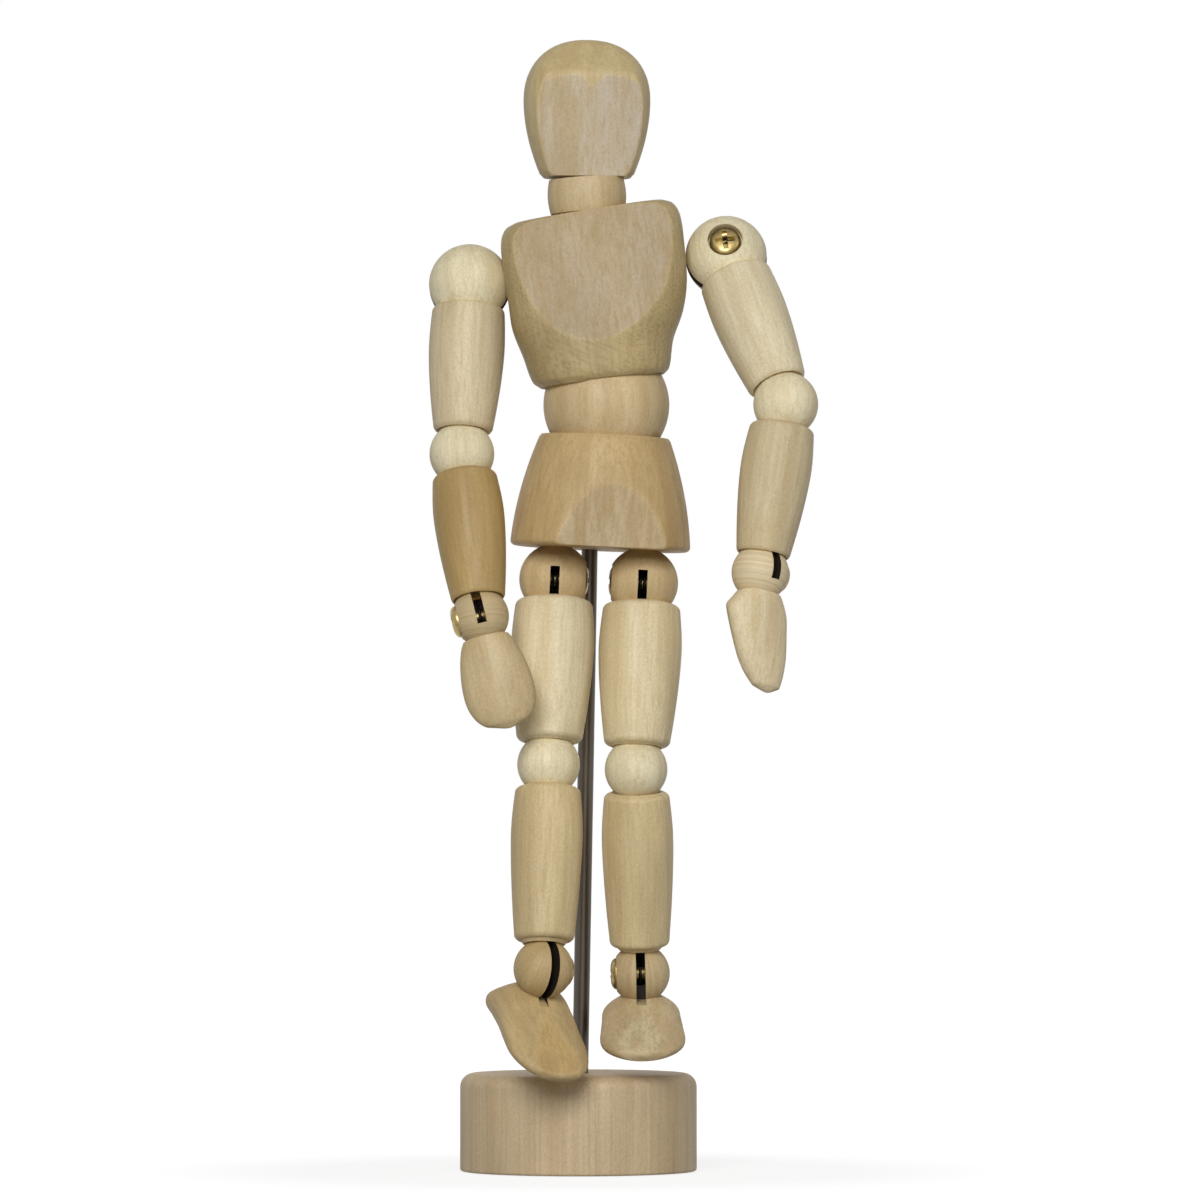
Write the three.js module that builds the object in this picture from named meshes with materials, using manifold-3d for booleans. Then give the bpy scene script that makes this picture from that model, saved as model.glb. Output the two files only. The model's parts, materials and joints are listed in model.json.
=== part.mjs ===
// A small wooden artist mannequin: turned and carved beech pieces held together by
// hidden springs, standing on a steel rod in a round base. Millimetres, +Z up, the
// figure faces -Y, and the origin is the centre of the base's underside.
import * as THREE from 'three';
import { mergeVertices } from 'three/addons/utils/BufferGeometryUtils.js';
import Module from 'manifold-3d';

const wasm = await Module();
wasm.setup();

const degrees = THREE.MathUtils.degToRad;

// Base and support rod
const BASE_RADIUS = 14.65;
const BASE_HEIGHT = 12.1;
const BASE_TOP_ROUND = 1.7;
const BASE_FOOT_ROUND = 0.35;
const ROD_RADIUS = 1.0;
const ROD_LEAN = degrees(1.03);
const ROD_FOOT_HEIGHT = 3.1;
const ROD_DEPTH_IN_PELVIS = 8.0;

// Clearances
const SOCKET_GAP = 0.3;
const PIN_GAP = 0.25;
const WIRE_GAP = 0.12;
const WIRE_ROOM = 0.6;

// Trunk
const PELVIS_HEIGHT = 13.85;
const PELVIS_TOP_RADIUS = 8.1;
const PELVIS_FOOT_RADIUS = 11.1;
const PELVIS_BELLY = 10.6;
const PELVIS_ROUND = 0.6;
const PELVIS_SIDEWAYS = 1.3;
const PELVIS_FORWARD = 5.5;
const PELVIS_TILT = degrees(2.5);
const PELVIS_FACET_DEPTH = 8.65;
const PELVIS_FACET_TILT = degrees(9);
const PELVIS_FACET_TURN = degrees(9);
const PELVIS_PIN_HEIGHT = 6.4;
const PELVIS_PIN_LENGTH = 17;
const WAIST_RADIUS = 7.77;
const WAIST_ABOVE_PELVIS = 3.9;
const CHEST_ABOVE_WAIST = 2.9;
const CHEST_TILT = degrees(-6.3);
const CHEST_TOP_SLOPE = 0.05;
const CHEST_FOOT_SHIFT = -0.7;
const CHEST_SIDEWAYS = 0.45;
const CHEST_HEIGHT = 21.0;
const CHEST_HALF_WIDTH = 11.3;
const CHEST_HALF_DEPTH = 8.6;
const CHEST_FOOT_HALF_WIDTH = 7.95;
const CHEST_PEAK_HEIGHT = 7.6;
const CHEST_PEAK_DEPTH = 7.7;
const CHEST_PLANE_TILT = degrees(11);
const SHOULDER_HEIGHT = 13.8;
const SHOULDER_SIDEWAYS = 15.95;
const SHOULDER_SHIFT = 0.35;
const SHOULDER_BACK = 1.6;
const NECK_RADIUS = 4.85;
const NECK_END_RADIUS = 4.58;
const NECK_HALF_HEIGHT = 2.1;
const NECK_ABOVE_CHEST = 2.05;
const HEAD_ABOVE_NECK = 2.25;
const HEAD_HEIGHT = 17.1;
const HEAD_RADIUS = 7.83;
const HEAD_FOOT_RADIUS = 5.75;
const HEAD_WIDEST = 9.5;
const HEAD_JAW_CURVE = 1.9;
const HEAD_CROWN_CURVE = 2.2;
const HEAD_JAW_SHARES = [0, 0.12, 0.3, 0.55, 1];
const HEAD_CROWN_SHARES = [0.25, 0.45, 0.62, 0.78, 0.9, 0.97];
const FACE_DEPTH = 4.5;
const FACE_TILT = degrees(9);
const FACE_TURN = degrees(5.5);
const FOREHEAD_HEIGHT = 12.6;
const FOREHEAD_TILT = degrees(42);
const HEAD_PIN_HEIGHT = 5.2;
const HEAD_PIN_LENGTH = 11;
const CROSS_PIN_RADIUS = 0.75;

// Carved stations of the chest: height, half width, half depth, squareness, sideways shift
const CHEST_STATIONS = [
  [0, CHEST_FOOT_HALF_WIDTH - 0.4, CHEST_FOOT_HALF_WIDTH - 0.6, 2.2, CHEST_FOOT_SHIFT],
  [0.8, CHEST_FOOT_HALF_WIDTH + 0.5, CHEST_FOOT_HALF_WIDTH, 2.2, CHEST_FOOT_SHIFT],
  [4.2, CHEST_FOOT_HALF_WIDTH + 1.4, CHEST_HALF_DEPTH - 0.4, 2.3, CHEST_FOOT_SHIFT],
  [CHEST_PEAK_HEIGHT, CHEST_HALF_WIDTH - 0.7, CHEST_HALF_DEPTH, 2.6, CHEST_FOOT_SHIFT / 2],
  [11, CHEST_HALF_WIDTH - 0.2, CHEST_HALF_DEPTH, 3, 0],
  [SHOULDER_HEIGHT + 2, CHEST_HALF_WIDTH, CHEST_HALF_DEPTH - 0.6, 3.4, 0],
  [CHEST_HEIGHT - 2, CHEST_HALF_WIDTH - 0.15, CHEST_HALF_DEPTH - 1.2, 3.2, 0],
  [CHEST_HEIGHT - 0.5, CHEST_HALF_WIDTH - 0.9, CHEST_HALF_DEPTH - 2.2, 3, 0],
  [CHEST_HEIGHT, CHEST_HALF_WIDTH - 2, CHEST_HALF_DEPTH - 3.4, 2.8, 0],
];

// Arms: lengths run from ball centre to ball centre, steps from a ball centre to the next end face
const SHOULDER_RADIUS = 5.05;
const UPPER_ARM_LENGTH = 21.8;
const UPPER_ARM_RADIUS = 4.8;
const UPPER_ARM_TOP_RADIUS = 4.5;
const UPPER_ARM_FOOT_RADIUS = 3.7;
const SHOULDER_STEP = 3.0;
const ELBOW_RADIUS = 4.0;
const ELBOW_STEP = 2.8;
const FOREARM_LENGTH = 21.3;
const FOREARM_RADIUS = 4.35;
const FOREARM_TOP_RADIUS = 4.0;
const FOREARM_FOOT_RADIUS = 3.35;
const WRIST_RADIUS = 3.5;
const WRIST_STEP = 2.0;
const HAND_LENGTH = 14.4;
const HAND_HALF_WIDTH = 4.1;
const HAND_HALF_THICKNESS = 2.3;
const HAND_SQUARENESS = 2.3;

// Carved stations of the hand: share of its length, shares of its width and thickness, sideways sweep
const HAND_STATIONS = [
  [0.15, 0.6, 0.86, 0],
  [0.27, 0.82, 0.98, 0],
  [0.44, 0.98, 1, 0.1],
  [0.62, 1.06, 0.92, 0.3],
  [0.78, 1.02, 0.74, 0.5],
  [0.91, 0.8, 0.5, 0.8],
  [1, 0.38, 0.22, 1.1],
];

// Legs
const HIP_SIDEWAYS = 5.4;
const HIP_BELOW_PELVIS = 4.0;
const HIP_RADIUS = 4.4;
const THIGH_LENGTH = 23.3;
const THIGH_RADIUS = 5.2;
const THIGH_TOP_RADIUS = 4.8;
const THIGH_FOOT_RADIUS = 4.1;
const HIP_STEP = 2.8;
const KNEE_RADIUS = 3.85;
const KNEE_STEP = 2.9;
const CALF_LENGTH = 25.4;
const CALF_RADIUS = 4.4;
const CALF_TOP_RADIUS = 4.05;
const CALF_FOOT_RADIUS = 3.7;
const ANKLE_RADIUS = 3.65;
const ANKLE_STEP = 3.4;
const ANKLE_SLOT_DEPTH = 3.3;
const ANKLE_ABOVE_BASE = 12.7;
const SOLE_BELOW_ANKLE = 8.7;
const TOE_LENGTH = 13.2;
const HEEL_LENGTH = 4.6;
const FOOT_HALF_WIDTH = 5.2;
const FOOT_SINK = 2.4;
const FOOT_SQUARENESS = 2.7;
const INSTEP_TILT = degrees(22);
const INSTEP_HEIGHT = -4.5;

// Carved stations of the foot: distance behind the ankle, share of its width, lift of the sole, top height
const FOOT_STATIONS = [
  [HEEL_LENGTH, 0.6, 0.8, -6.2],
  [HEEL_LENGTH - 1, 0.84, 0.15, -4.6],
  [1, 0.92, 0, -FOOT_SINK],
  [-2, 0.94, 0, -FOOT_SINK - 0.2],
  [-5, 0.98, 0, -3.8],
  [-8.6, 1, 0, -5.0],
  [-TOE_LENGTH + 1.8, 0.86, 0.1, -5.8],
  [-TOE_LENGTH, 0.5, 0.5, -6.8],
];
const LIMB_ROUND = 0.8;
const LIMB_BELLY_SHARE = 0.3;
const LIMB_TAPER = 1.6;
const LIMB_TURNING_SHARES = [0.15, 0.35, 0.65];
const BORE_FLARE = degrees(20);

// Screws, springs and the slots they sit in
const SCREW_RADIUS = 0.8;
const SCREW_HEAD_RADIUS = 1.95;
const SCREW_HEAD_HEIGHT = 1.25;
const SCREW_CROSS_LENGTH = 2.2;
const SCREW_CROSS_WIDTH = 0.5;
const SCREW_CROSS_DEPTH = 0.55;
const SCREW_SEAT_SHARE = 0.64;
const SCREW_HEAD_GAP = 0.1;
const SCREW_FOOT_SHARE = 0.72;
const SCREW_RIM_SHARE = 0.45;
const SCREW_CROWN_SHARE = 0.72;
const SCREW_CROWN_DROP = 0.12;
const SLOT_WIDTH = 1.15;
const SLOT_BACK_WALL = 1.3;
const WIRE_RADIUS = 0.175;
const EYE_OFFSET = 0.26;
const EYE_ANGLES = [60, 120, 180, 240, 300];
const EYE_TAIL_SHARE = 1.7;
const COIL_RADIUS = 1.1;
const COIL_PITCH = 1.0;
const LIMB_COIL_TURNS = 4;
const HIP_COIL_TURNS = 2;
const SHOULDER_COIL_TURNS = 3;
const TORSO_COIL_TURNS = 4;
const COIL_TAIL_TURNS = 2.5;

// Rest pose of each limb, in degrees: lean is sideways to +X, swing is forwards to -Y
const ARM_POSE = {
  right: {
    turn: 14, raise: -8.4, elbowLean: 8.8, elbowSwing: 4,
    wristSwing: -6, wristLean: 7, palmTurn: 0, handSweep: -0.2,
  },
  left: {
    turn: 24, raise: 13.4, elbowLean: -28, elbowSwing: -14,
    wristSwing: 6, wristLean: 6, palmTurn: 35, handSweep: 1,
  },
};
const LEG_POSE = {
  right: { lean: 0.6, swing: 11, kneeLean: 0.5, kneeSwing: 0, shinTurn: 25, droop: 39 },
  left: { lean: 0.5, swing: 9, kneeLean: 3.2, kneeSwing: -18, shinTurn: 1, droop: 1 },
};

// Sides of the turned forms
const BASE_SIDES = 28;
const ROD_SIDES = 12;
const PELVIS_SIDES = 24;
const CHEST_SIDES = 24;
const HEAD_SIDES = 20;
const NECK_SIDES = 16;
const NECK_STEPS = 4;
const SCREW_SIDES = 9;
const COUNTERBORE_SIDES = 12;
const CARVED_SIDES = 12;
const LIMB_SIDES = 14;
const BALL_SIDES = 12;
const SOCKET_SIDES = 10;
const BORE_SIDES = 6;
const WIRE_SIDES = 4;
const TURN_STEPS = 6;

const coilBore = COIL_RADIUS + WIRE_RADIUS + SOCKET_GAP;
const wireBore = WIRE_RADIUS + WIRE_ROOM;
const torsoBore = coilBore + CHEST_SIDEWAYS;
const eyeRadius = SCREW_RADIUS + PIN_GAP + WIRE_RADIUS;
const eyeReach = eyeRadius + WIRE_RADIUS + WIRE_GAP;
const limbCoilRoom = COIL_PITCH * (LIMB_COIL_TURNS + COIL_TAIL_TURNS);

// Solids: closed meshes with merged vertices, joined and cut as manifolds
function solid(geometry) {
  const bare = geometry.clone();
  bare.deleteAttribute('normal');
  bare.deleteAttribute('uv');
  const merged = mergeVertices(bare, 1e-4);
  const corners = merged.index.array;
  const triangles = [];
  for (let i = 0; i < corners.length; i += 3) {
    const [a, b, c] = [corners[i], corners[i + 1], corners[i + 2]];
    if (a !== b && b !== c && c !== a) triangles.push(a, b, c);
  }
  const vertProperties = new Float32Array(merged.attributes.position.array);
  const mesh = new wasm.Mesh({ numProp: 3, vertProperties, triVerts: new Uint32Array(triangles) });
  mesh.merge();
  return new wasm.Manifold(mesh);
}

function cut(body, ...tools) {
  return tools.reduce((rest, tool) => rest.subtract(tool), body);
}

function geometryOf(body) {
  const mesh = body.getMesh();
  const geometry = new THREE.BufferGeometry();
  geometry.setAttribute('position', new THREE.BufferAttribute(new Float32Array(mesh.vertProperties), 3));
  geometry.setIndex(new THREE.BufferAttribute(new Uint32Array(mesh.triVerts), 1));
  geometry.computeVertexNormals();
  return geometry;
}

// A turned form about Z from [radius, height] points that start and end on the axis, going up
function turned(points, sides) {
  const profile = points.map(([radius, height]) => new THREE.Vector2(radius, height));
  return new THREE.LatheGeometry(profile, sides).rotateX(Math.PI / 2);
}

function arcPoints(centreRadius, centreHeight, radius, from, to, steps) {
  return Array.from({ length: steps + 1 }, (_, i) => {
    const angle = degrees(from + ((to - from) * i) / steps);
    return [centreRadius + radius * Math.cos(angle), centreHeight + radius * Math.sin(angle)];
  });
}

function ball(radius, sides = BALL_SIDES) {
  const inner = arcPoints(0, 0, radius, -90, 90, sides / 2).slice(1, -1);
  return turned([[0, -radius], ...inner, [0, radius]], sides);
}

// The ball that cuts a socket: its flats clear the ball in it by the socket gap
function socketBall(radius) {
  return ball((radius + SOCKET_GAP) / Math.cos(Math.PI / SOCKET_SIDES) ** 2, SOCKET_SIDES);
}

// A round bar from one height to another, along X or Z
function bar(radius, from, to, axis = 'z', sides = BORE_SIDES) {
  const geometry = new THREE.CylinderGeometry(radius, radius, to - from, sides);
  geometry.rotateX(Math.PI / 2).translate(0, 0, (from + to) / 2);
  if (axis === 'x') geometry.rotateY(Math.PI / 2);
  return geometry;
}

function box(width, depth, height, x, y, z) {
  return new THREE.BoxGeometry(width, depth, height).translate(x, y, z);
}

// A large block that takes away everything in front of a plane; the plane faces -Y before it is
// tilted up about X and turned about Z, and passes at the given depth and height
function planeCut(depth, height, tilt, turn = 0) {
  const size = 2 * (CHEST_HEIGHT + CHEST_HALF_WIDTH);
  const block = new THREE.BoxGeometry(size, size, size).translate(0, -size / 2, 0);
  block.rotateX(tilt).translate(0, -depth, height).rotateZ(turn);
  return solid(block);
}

// A loft through rings with equal numbers of points, closed by a fan at each end
function loft(rings) {
  const count = rings[0].length;
  const positions = rings.flat().flatMap((p) => [p.x, p.y, p.z]);
  const centres = [rings[0], rings[rings.length - 1]].map((ring) => {
    const middle = new THREE.Vector3();
    ring.forEach((p) => middle.add(p));
    return middle.divideScalar(count);
  });
  centres.forEach((p) => positions.push(p.x, p.y, p.z));
  const first = rings.length * count;
  const lastRing = (rings.length - 1) * count;
  const index = [];
  for (let j = 0; j < count; j += 1) {
    const next = (j + 1) % count;
    for (let i = 0; i + 1 < rings.length; i += 1) {
      const low = i * count;
      const high = low + count;
      index.push(low + j, low + next, high + next, low + j, high + next, high + j);
    }
    index.push(first, next, j, first + 1, lastRing + j, lastRing + next);
  }
  const geometry = new THREE.BufferGeometry();
  geometry.setAttribute('position', new THREE.BufferAttribute(new Float32Array(positions), 3));
  geometry.setIndex(index);
  return geometry;
}

// An oval with squared shoulders: power 2 is an ellipse and higher powers are boxier
function ovalPoint(angle, halfWidth, halfDepth, power) {
  const c = Math.cos(angle);
  const s = Math.sin(angle);
  const x = halfWidth * Math.sign(c) * Math.abs(c) ** (2 / power);
  const y = halfDepth * Math.sign(s) * Math.abs(s) ** (2 / power);
  return [x, y];
}

function ovalRing(sides, halfWidth, halfDepth, power, place) {
  return Array.from({ length: sides }, (_, j) => {
    const [across, along] = ovalPoint((2 * Math.PI * j) / sides, halfWidth, halfDepth, power);
    return place(across, along);
  });
}

// The scene: nested pivots hold the rest pose, and each pivot keeps the axis that it turns about
const mannequin = new THREE.Group();

function pivot(name, parent, position, rotation, axis) {
  const group = new THREE.Group();
  group.name = name;
  group.position.set(...position);
  group.rotation.set(...rotation);
  if (axis) group.userData.axis = axis;
  parent.add(group);
  return group;
}

function addPiece(name, body, parent, finish) {
  const piece = new THREE.Mesh(geometryOf(body), new THREE.MeshStandardMaterial(finish));
  piece.name = name;
  parent.add(piece);
  return piece;
}

const paleWood = { color: '#d3c5a3', roughness: 0.62, metalness: 0 };
const tanWood = { color: '#bda27c', roughness: 0.65, metalness: 0 };
const goldenWood = { color: '#b8986c', roughness: 0.65, metalness: 0 };
const brassPlate = { color: '#b0904c', roughness: 0.35, metalness: 1 };
const darkSteel = { color: '#43474a', roughness: 0.4, metalness: 1 };

// Base: a turned disc with a rounded top edge and a blind hole for the leaning rod
function baseSolid() {
  const foot = arcPoints(BASE_RADIUS - BASE_FOOT_ROUND, BASE_FOOT_ROUND, BASE_FOOT_ROUND, -90, 0, 2);
  const top = arcPoints(BASE_RADIUS - BASE_TOP_ROUND, BASE_HEIGHT - BASE_TOP_ROUND, BASE_TOP_ROUND, 0, 90, 4);
  const disc = turned([[0, 0], ...foot, ...top, [0, BASE_HEIGHT]], BASE_SIDES);
  const hole = bar(ROD_RADIUS + PIN_GAP, ROD_FOOT_HEIGHT - SOCKET_GAP, BASE_HEIGHT + 2);
  return cut(solid(disc), solid(hole.rotateY(ROD_LEAN)));
}

const legDrop = (THIGH_LENGTH + CALF_LENGTH) * Math.cos(degrees(LEG_POSE.left.swing));
const hipRise = BASE_HEIGHT + ANKLE_ABOVE_BASE + legDrop;
const pelvisRise = hipRise + HIP_BELOW_PELVIS;
const rodTop = pelvisRise + ROD_DEPTH_IN_PELVIS;
addPiece('base', baseSolid(), mannequin, tanWood);

// Support rod: plain steel bar, leaning slightly to +X
const rodAxis = pivot('rod_axis', mannequin, [0, 0, 0], [0, ROD_LEAN, 0]);
addPiece('support_rod', solid(bar(ROD_RADIUS, ROD_FOOT_HEIGHT, rodTop, 'z', ROD_SIDES)), rodAxis, darkSteel);

// Pelvis: turned bell, planed at the lower front, socketed for the waist ball and both hip balls
const figure = pivot('figure_turn', rodAxis, [0, 0, 0], [0, 0, 0], [0, 0, 1]);
const pelvisPlace = [PELVIS_SIDEWAYS, -PELVIS_FORWARD, pelvisRise];
const pelvisFrame = pivot('pelvis_seat', figure, pelvisPlace, [0, PELVIS_TILT - ROD_LEAN, 0]);
const waistHeight = PELVIS_HEIGHT + WAIST_ABOVE_PELVIS;

function pelvisSolid() {
  const foot = arcPoints(PELVIS_FOOT_RADIUS - PELVIS_ROUND, PELVIS_ROUND, PELVIS_ROUND, -90, 0, 2);
  const flank = new THREE.QuadraticBezierCurve(
    new THREE.Vector2(PELVIS_FOOT_RADIUS, PELVIS_ROUND),
    new THREE.Vector2(PELVIS_BELLY, PELVIS_HEIGHT / 2),
    new THREE.Vector2(PELVIS_TOP_RADIUS, PELVIS_HEIGHT),
  ).getPoints(4).slice(1);
  const bell = turned([[0, 0], ...foot, ...flank.map((p) => [p.x, p.y]), [0, PELVIS_HEIGHT]], PELVIS_SIDES);
  const pinHole = bar(CROSS_PIN_RADIUS + PIN_GAP, -PELVIS_FOOT_RADIUS, PELVIS_FOOT_RADIUS, 'x');
  const tools = [
    planeCut(PELVIS_FACET_DEPTH, 0, PELVIS_FACET_TILT, PELVIS_FACET_TURN),
    solid(socketBall(WAIST_RADIUS).translate(0, 0, waistHeight)),
    solid(bar(coilBore, PELVIS_PIN_HEIGHT - coilBore, PELVIS_HEIGHT)),
    solid(pinHole.translate(0, 0, PELVIS_PIN_HEIGHT)),
  ];
  for (const side of [-1, 1]) {
    const hip = [side * HIP_SIDEWAYS, 0, -HIP_BELOW_PELVIS];
    tools.push(solid(socketBall(HIP_RADIUS).translate(...hip)));
    tools.push(solid(bar(coilBore, -1, PELVIS_PIN_HEIGHT + coilBore).translate(hip[0], 0, 0)));
  }
  pelvisFrame.updateMatrix();
  const rodHole = bar(ROD_RADIUS + PIN_GAP, pelvisRise - 2, rodTop + SOCKET_GAP, 'z', ROD_SIDES);
  tools.push(solid(rodHole.applyMatrix4(pelvisFrame.matrix.clone().invert())));
  return cut(solid(bell), ...tools);
}

addPiece('pelvis', pelvisSolid(), pelvisFrame, goldenWood);
const pelvisPin = bar(CROSS_PIN_RADIUS, -PELVIS_PIN_LENGTH / 2, PELVIS_PIN_LENGTH / 2, 'x');
addPiece('pelvis_pin', solid(pelvisPin.translate(0, 0, PELVIS_PIN_HEIGHT)), pelvisFrame, darkSteel);

// A hole through a turned piece of the given radius, flared to both ends for the spring
function flaredBore(radius) {
  const flare = radius * Math.tan(BORE_FLARE);
  const mouth = wireBore + flare;
  const profile = [[0, -radius], [mouth, -radius], [wireBore, 0], [mouth, radius], [0, radius]];
  return solid(turned(profile, BORE_SIDES));
}

function boredBall(radius, sides = BALL_SIDES) {
  return cut(solid(ball(radius, sides)), flaredBore(radius));
}

// Neck: a short barrel whose ends stay inside the ball that its two sockets are cut for
function neckSolid() {
  const flank = new THREE.QuadraticBezierCurve(
    new THREE.Vector2(NECK_END_RADIUS, -NECK_HALF_HEIGHT),
    new THREE.Vector2(2 * NECK_RADIUS - NECK_END_RADIUS, 0),
    new THREE.Vector2(NECK_END_RADIUS, NECK_HALF_HEIGHT),
  ).getPoints(NECK_STEPS);
  const profile = [[0, -NECK_HALF_HEIGHT], ...flank.map((p) => [p.x, p.y]), [0, NECK_HALF_HEIGHT]];
  return cut(solid(turned(profile, NECK_SIDES)), flaredBore(NECK_RADIUS));
}

// Waist ball, chest, neck and head share the bend between them half and half
const waistTilt = (CHEST_TILT - PELVIS_TILT) / 2;
const waistFrame = pivot('waist_bend', pelvisFrame, [0, 0, waistHeight], [0, waistTilt, 0], [0, 1, 0]);
addPiece('waist_ball', boredBall(WAIST_RADIUS, 16), waistFrame, tanWood);

const chestFrame = pivot('chest_turn', waistFrame, [0, 0, 0], [0, waistTilt, 0], [0, 0, 1]);
const chestTop = CHEST_ABOVE_WAIST + CHEST_HEIGHT;
const shoulderRise = CHEST_ABOVE_WAIST + SHOULDER_HEIGHT;
const neckRise = chestTop + NECK_ABOVE_CHEST;

// Chest: lofted from a narrow waist to square shoulders, with a planed breast that leans back
function chestSolid() {
  const rings = CHEST_STATIONS.map(([height, halfWidth, halfDepth, power, shift]) =>
    ovalRing(CHEST_SIDES, halfWidth, halfDepth, power, (x, y) => {
      const slope = CHEST_TOP_SLOPE * (height / CHEST_HEIGHT) ** 2;
      return new THREE.Vector3(x + CHEST_SIDEWAYS + shift, y, height + CHEST_ABOVE_WAIST + x * slope);
    }));
  const shoulderBore = bar(coilBore, -SHOULDER_SIDEWAYS, SHOULDER_SIDEWAYS, 'x');
  const tools = [
    planeCut(CHEST_PEAK_DEPTH, CHEST_ABOVE_WAIST + CHEST_PEAK_HEIGHT, -CHEST_PLANE_TILT),
    solid(socketBall(WAIST_RADIUS)),
    solid(socketBall(NECK_RADIUS).translate(CHEST_SIDEWAYS, 0, neckRise)),
    solid(bar(torsoBore, 0, neckRise)),
    solid(shoulderBore.translate(CHEST_SIDEWAYS, SHOULDER_BACK, shoulderRise)),
  ];
  for (const side of [-1, 1]) {
    const dish = socketBall(SHOULDER_RADIUS);
    tools.push(solid(dish.translate(...shoulderPlace(side))));
  }
  return cut(solid(loft(rings)), ...tools);
}

function shoulderPlace(side) {
  return [side * SHOULDER_SIDEWAYS + CHEST_SIDEWAYS + SHOULDER_SHIFT, SHOULDER_BACK, shoulderRise];
}

addPiece('chest', chestSolid(), chestFrame, tanWood);

const neckTilt = -CHEST_TILT / 2;
const neckFrame = pivot('neck_nod', chestFrame, [CHEST_SIDEWAYS, 0, neckRise], [0, neckTilt, 0], [1, 0, 0]);
addPiece('neck', neckSolid(), neckFrame, paleWood);

const headFrame = pivot('head_turn', neckFrame, [0, 0, 0], [0, neckTilt, 0], [0, 0, 1]);

// Head: a turned egg, planed flat at the face and bevelled at the forehead
function headSolid() {
  const jaw = HEAD_JAW_SHARES.map((share) => {
    const fall = (HEAD_RADIUS - HEAD_FOOT_RADIUS) * (1 - share) ** HEAD_JAW_CURVE;
    return [HEAD_RADIUS - fall, share * HEAD_WIDEST];
  });
  const crown = HEAD_CROWN_SHARES.map((share) => {
    const radius = HEAD_RADIUS * (1 - share ** HEAD_CROWN_CURVE) ** (1 / HEAD_CROWN_CURVE);
    return [radius, HEAD_WIDEST + share * (HEAD_HEIGHT - HEAD_WIDEST)];
  });
  const profile = [[0, 0], ...jaw, ...crown, [0, HEAD_HEIGHT]];
  const foreheadDepth = FACE_DEPTH + (FOREHEAD_HEIGHT - HEAD_WIDEST) * Math.tan(FACE_TILT);
  const pinHole = bar(CROSS_PIN_RADIUS + PIN_GAP, -HEAD_RADIUS, HEAD_PIN_LENGTH / 2 + PIN_GAP, 'x');
  const egg = cut(
    solid(turned(profile, HEAD_SIDES)),
    planeCut(FACE_DEPTH, HEAD_WIDEST, FACE_TILT, FACE_TURN),
    planeCut(foreheadDepth, FOREHEAD_HEIGHT, -FOREHEAD_TILT, FACE_TURN),
    solid(bar(coilBore, -1, HEAD_PIN_HEIGHT + coilBore)),
    solid(pinHole.translate(0, 0, HEAD_PIN_HEIGHT)),
  ).translate([0, 0, HEAD_ABOVE_NECK]);
  return cut(egg, solid(socketBall(NECK_RADIUS)));
}

const headPinRise = HEAD_ABOVE_NECK + HEAD_PIN_HEIGHT;
addPiece('head', headSolid(), headFrame, paleWood);
const headPin = bar(CROSS_PIN_RADIUS, -HEAD_PIN_LENGTH / 2, HEAD_PIN_LENGTH / 2, 'x');
addPiece('head_pin', solid(headPin.translate(0, 0, headPinRise)), headFrame, darkSteel);

// Screw: pan head with a cross recess, lying along +X with its head seat at the given distance
function screwSolid(ballRadius) {
  const seat = ballRadius * SCREW_SEAT_SHARE + SCREW_HEAD_GAP;
  const top = seat + SCREW_HEAD_HEIGHT;
  const profile = [
    [0, screwFoot(ballRadius)],
    [SCREW_RADIUS, screwFoot(ballRadius)],
    [SCREW_RADIUS, seat],
    [SCREW_HEAD_RADIUS, seat],
    [SCREW_HEAD_RADIUS, seat + SCREW_HEAD_HEIGHT * SCREW_RIM_SHARE],
    [SCREW_HEAD_RADIUS * SCREW_CROWN_SHARE, top - SCREW_CROWN_DROP],
    [0, top],
  ];
  const recessHeight = 2 * SCREW_CROSS_DEPTH;
  return cut(
    solid(turned(profile, SCREW_SIDES)),
    solid(box(SCREW_CROSS_LENGTH, SCREW_CROSS_WIDTH, recessHeight, 0, 0, top)),
    solid(box(SCREW_CROSS_WIDTH, SCREW_CROSS_LENGTH, recessHeight, 0, 0, top)),
  ).rotate([0, 90, 0]);
}

function screwFoot(ballRadius) {
  return -ballRadius * SCREW_FOOT_SHARE;
}

// The drilled hole for a screw: shank bore, and a counterbore that sinks the head
function screwHole(ballRadius) {
  const shank = bar(SCREW_RADIUS + PIN_GAP, screwFoot(ballRadius) - PIN_GAP, ballRadius, 'x');
  const seat = ballRadius * SCREW_SEAT_SHARE;
  const counterbore = bar(SCREW_HEAD_RADIUS + PIN_GAP, seat, ballRadius + 1, 'x', COUNTERBORE_SIDES);
  return solid(shank).add(solid(counterbore));
}

// A saw slot across a ball, square to X, between two heights; one that opens to -Y (1) or +Y (-1)
// leaves a wall at the other side, and one that opens to neither (0) goes right through
function slot(ballRadius, from, to, opening) {
  const reach = 2 * (ballRadius + 1);
  const shift = -opening * (SLOT_BACK_WALL + 1);
  return solid(box(SLOT_WIDTH, reach, to - from, 0, shift, (from + to) / 2));
}

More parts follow.
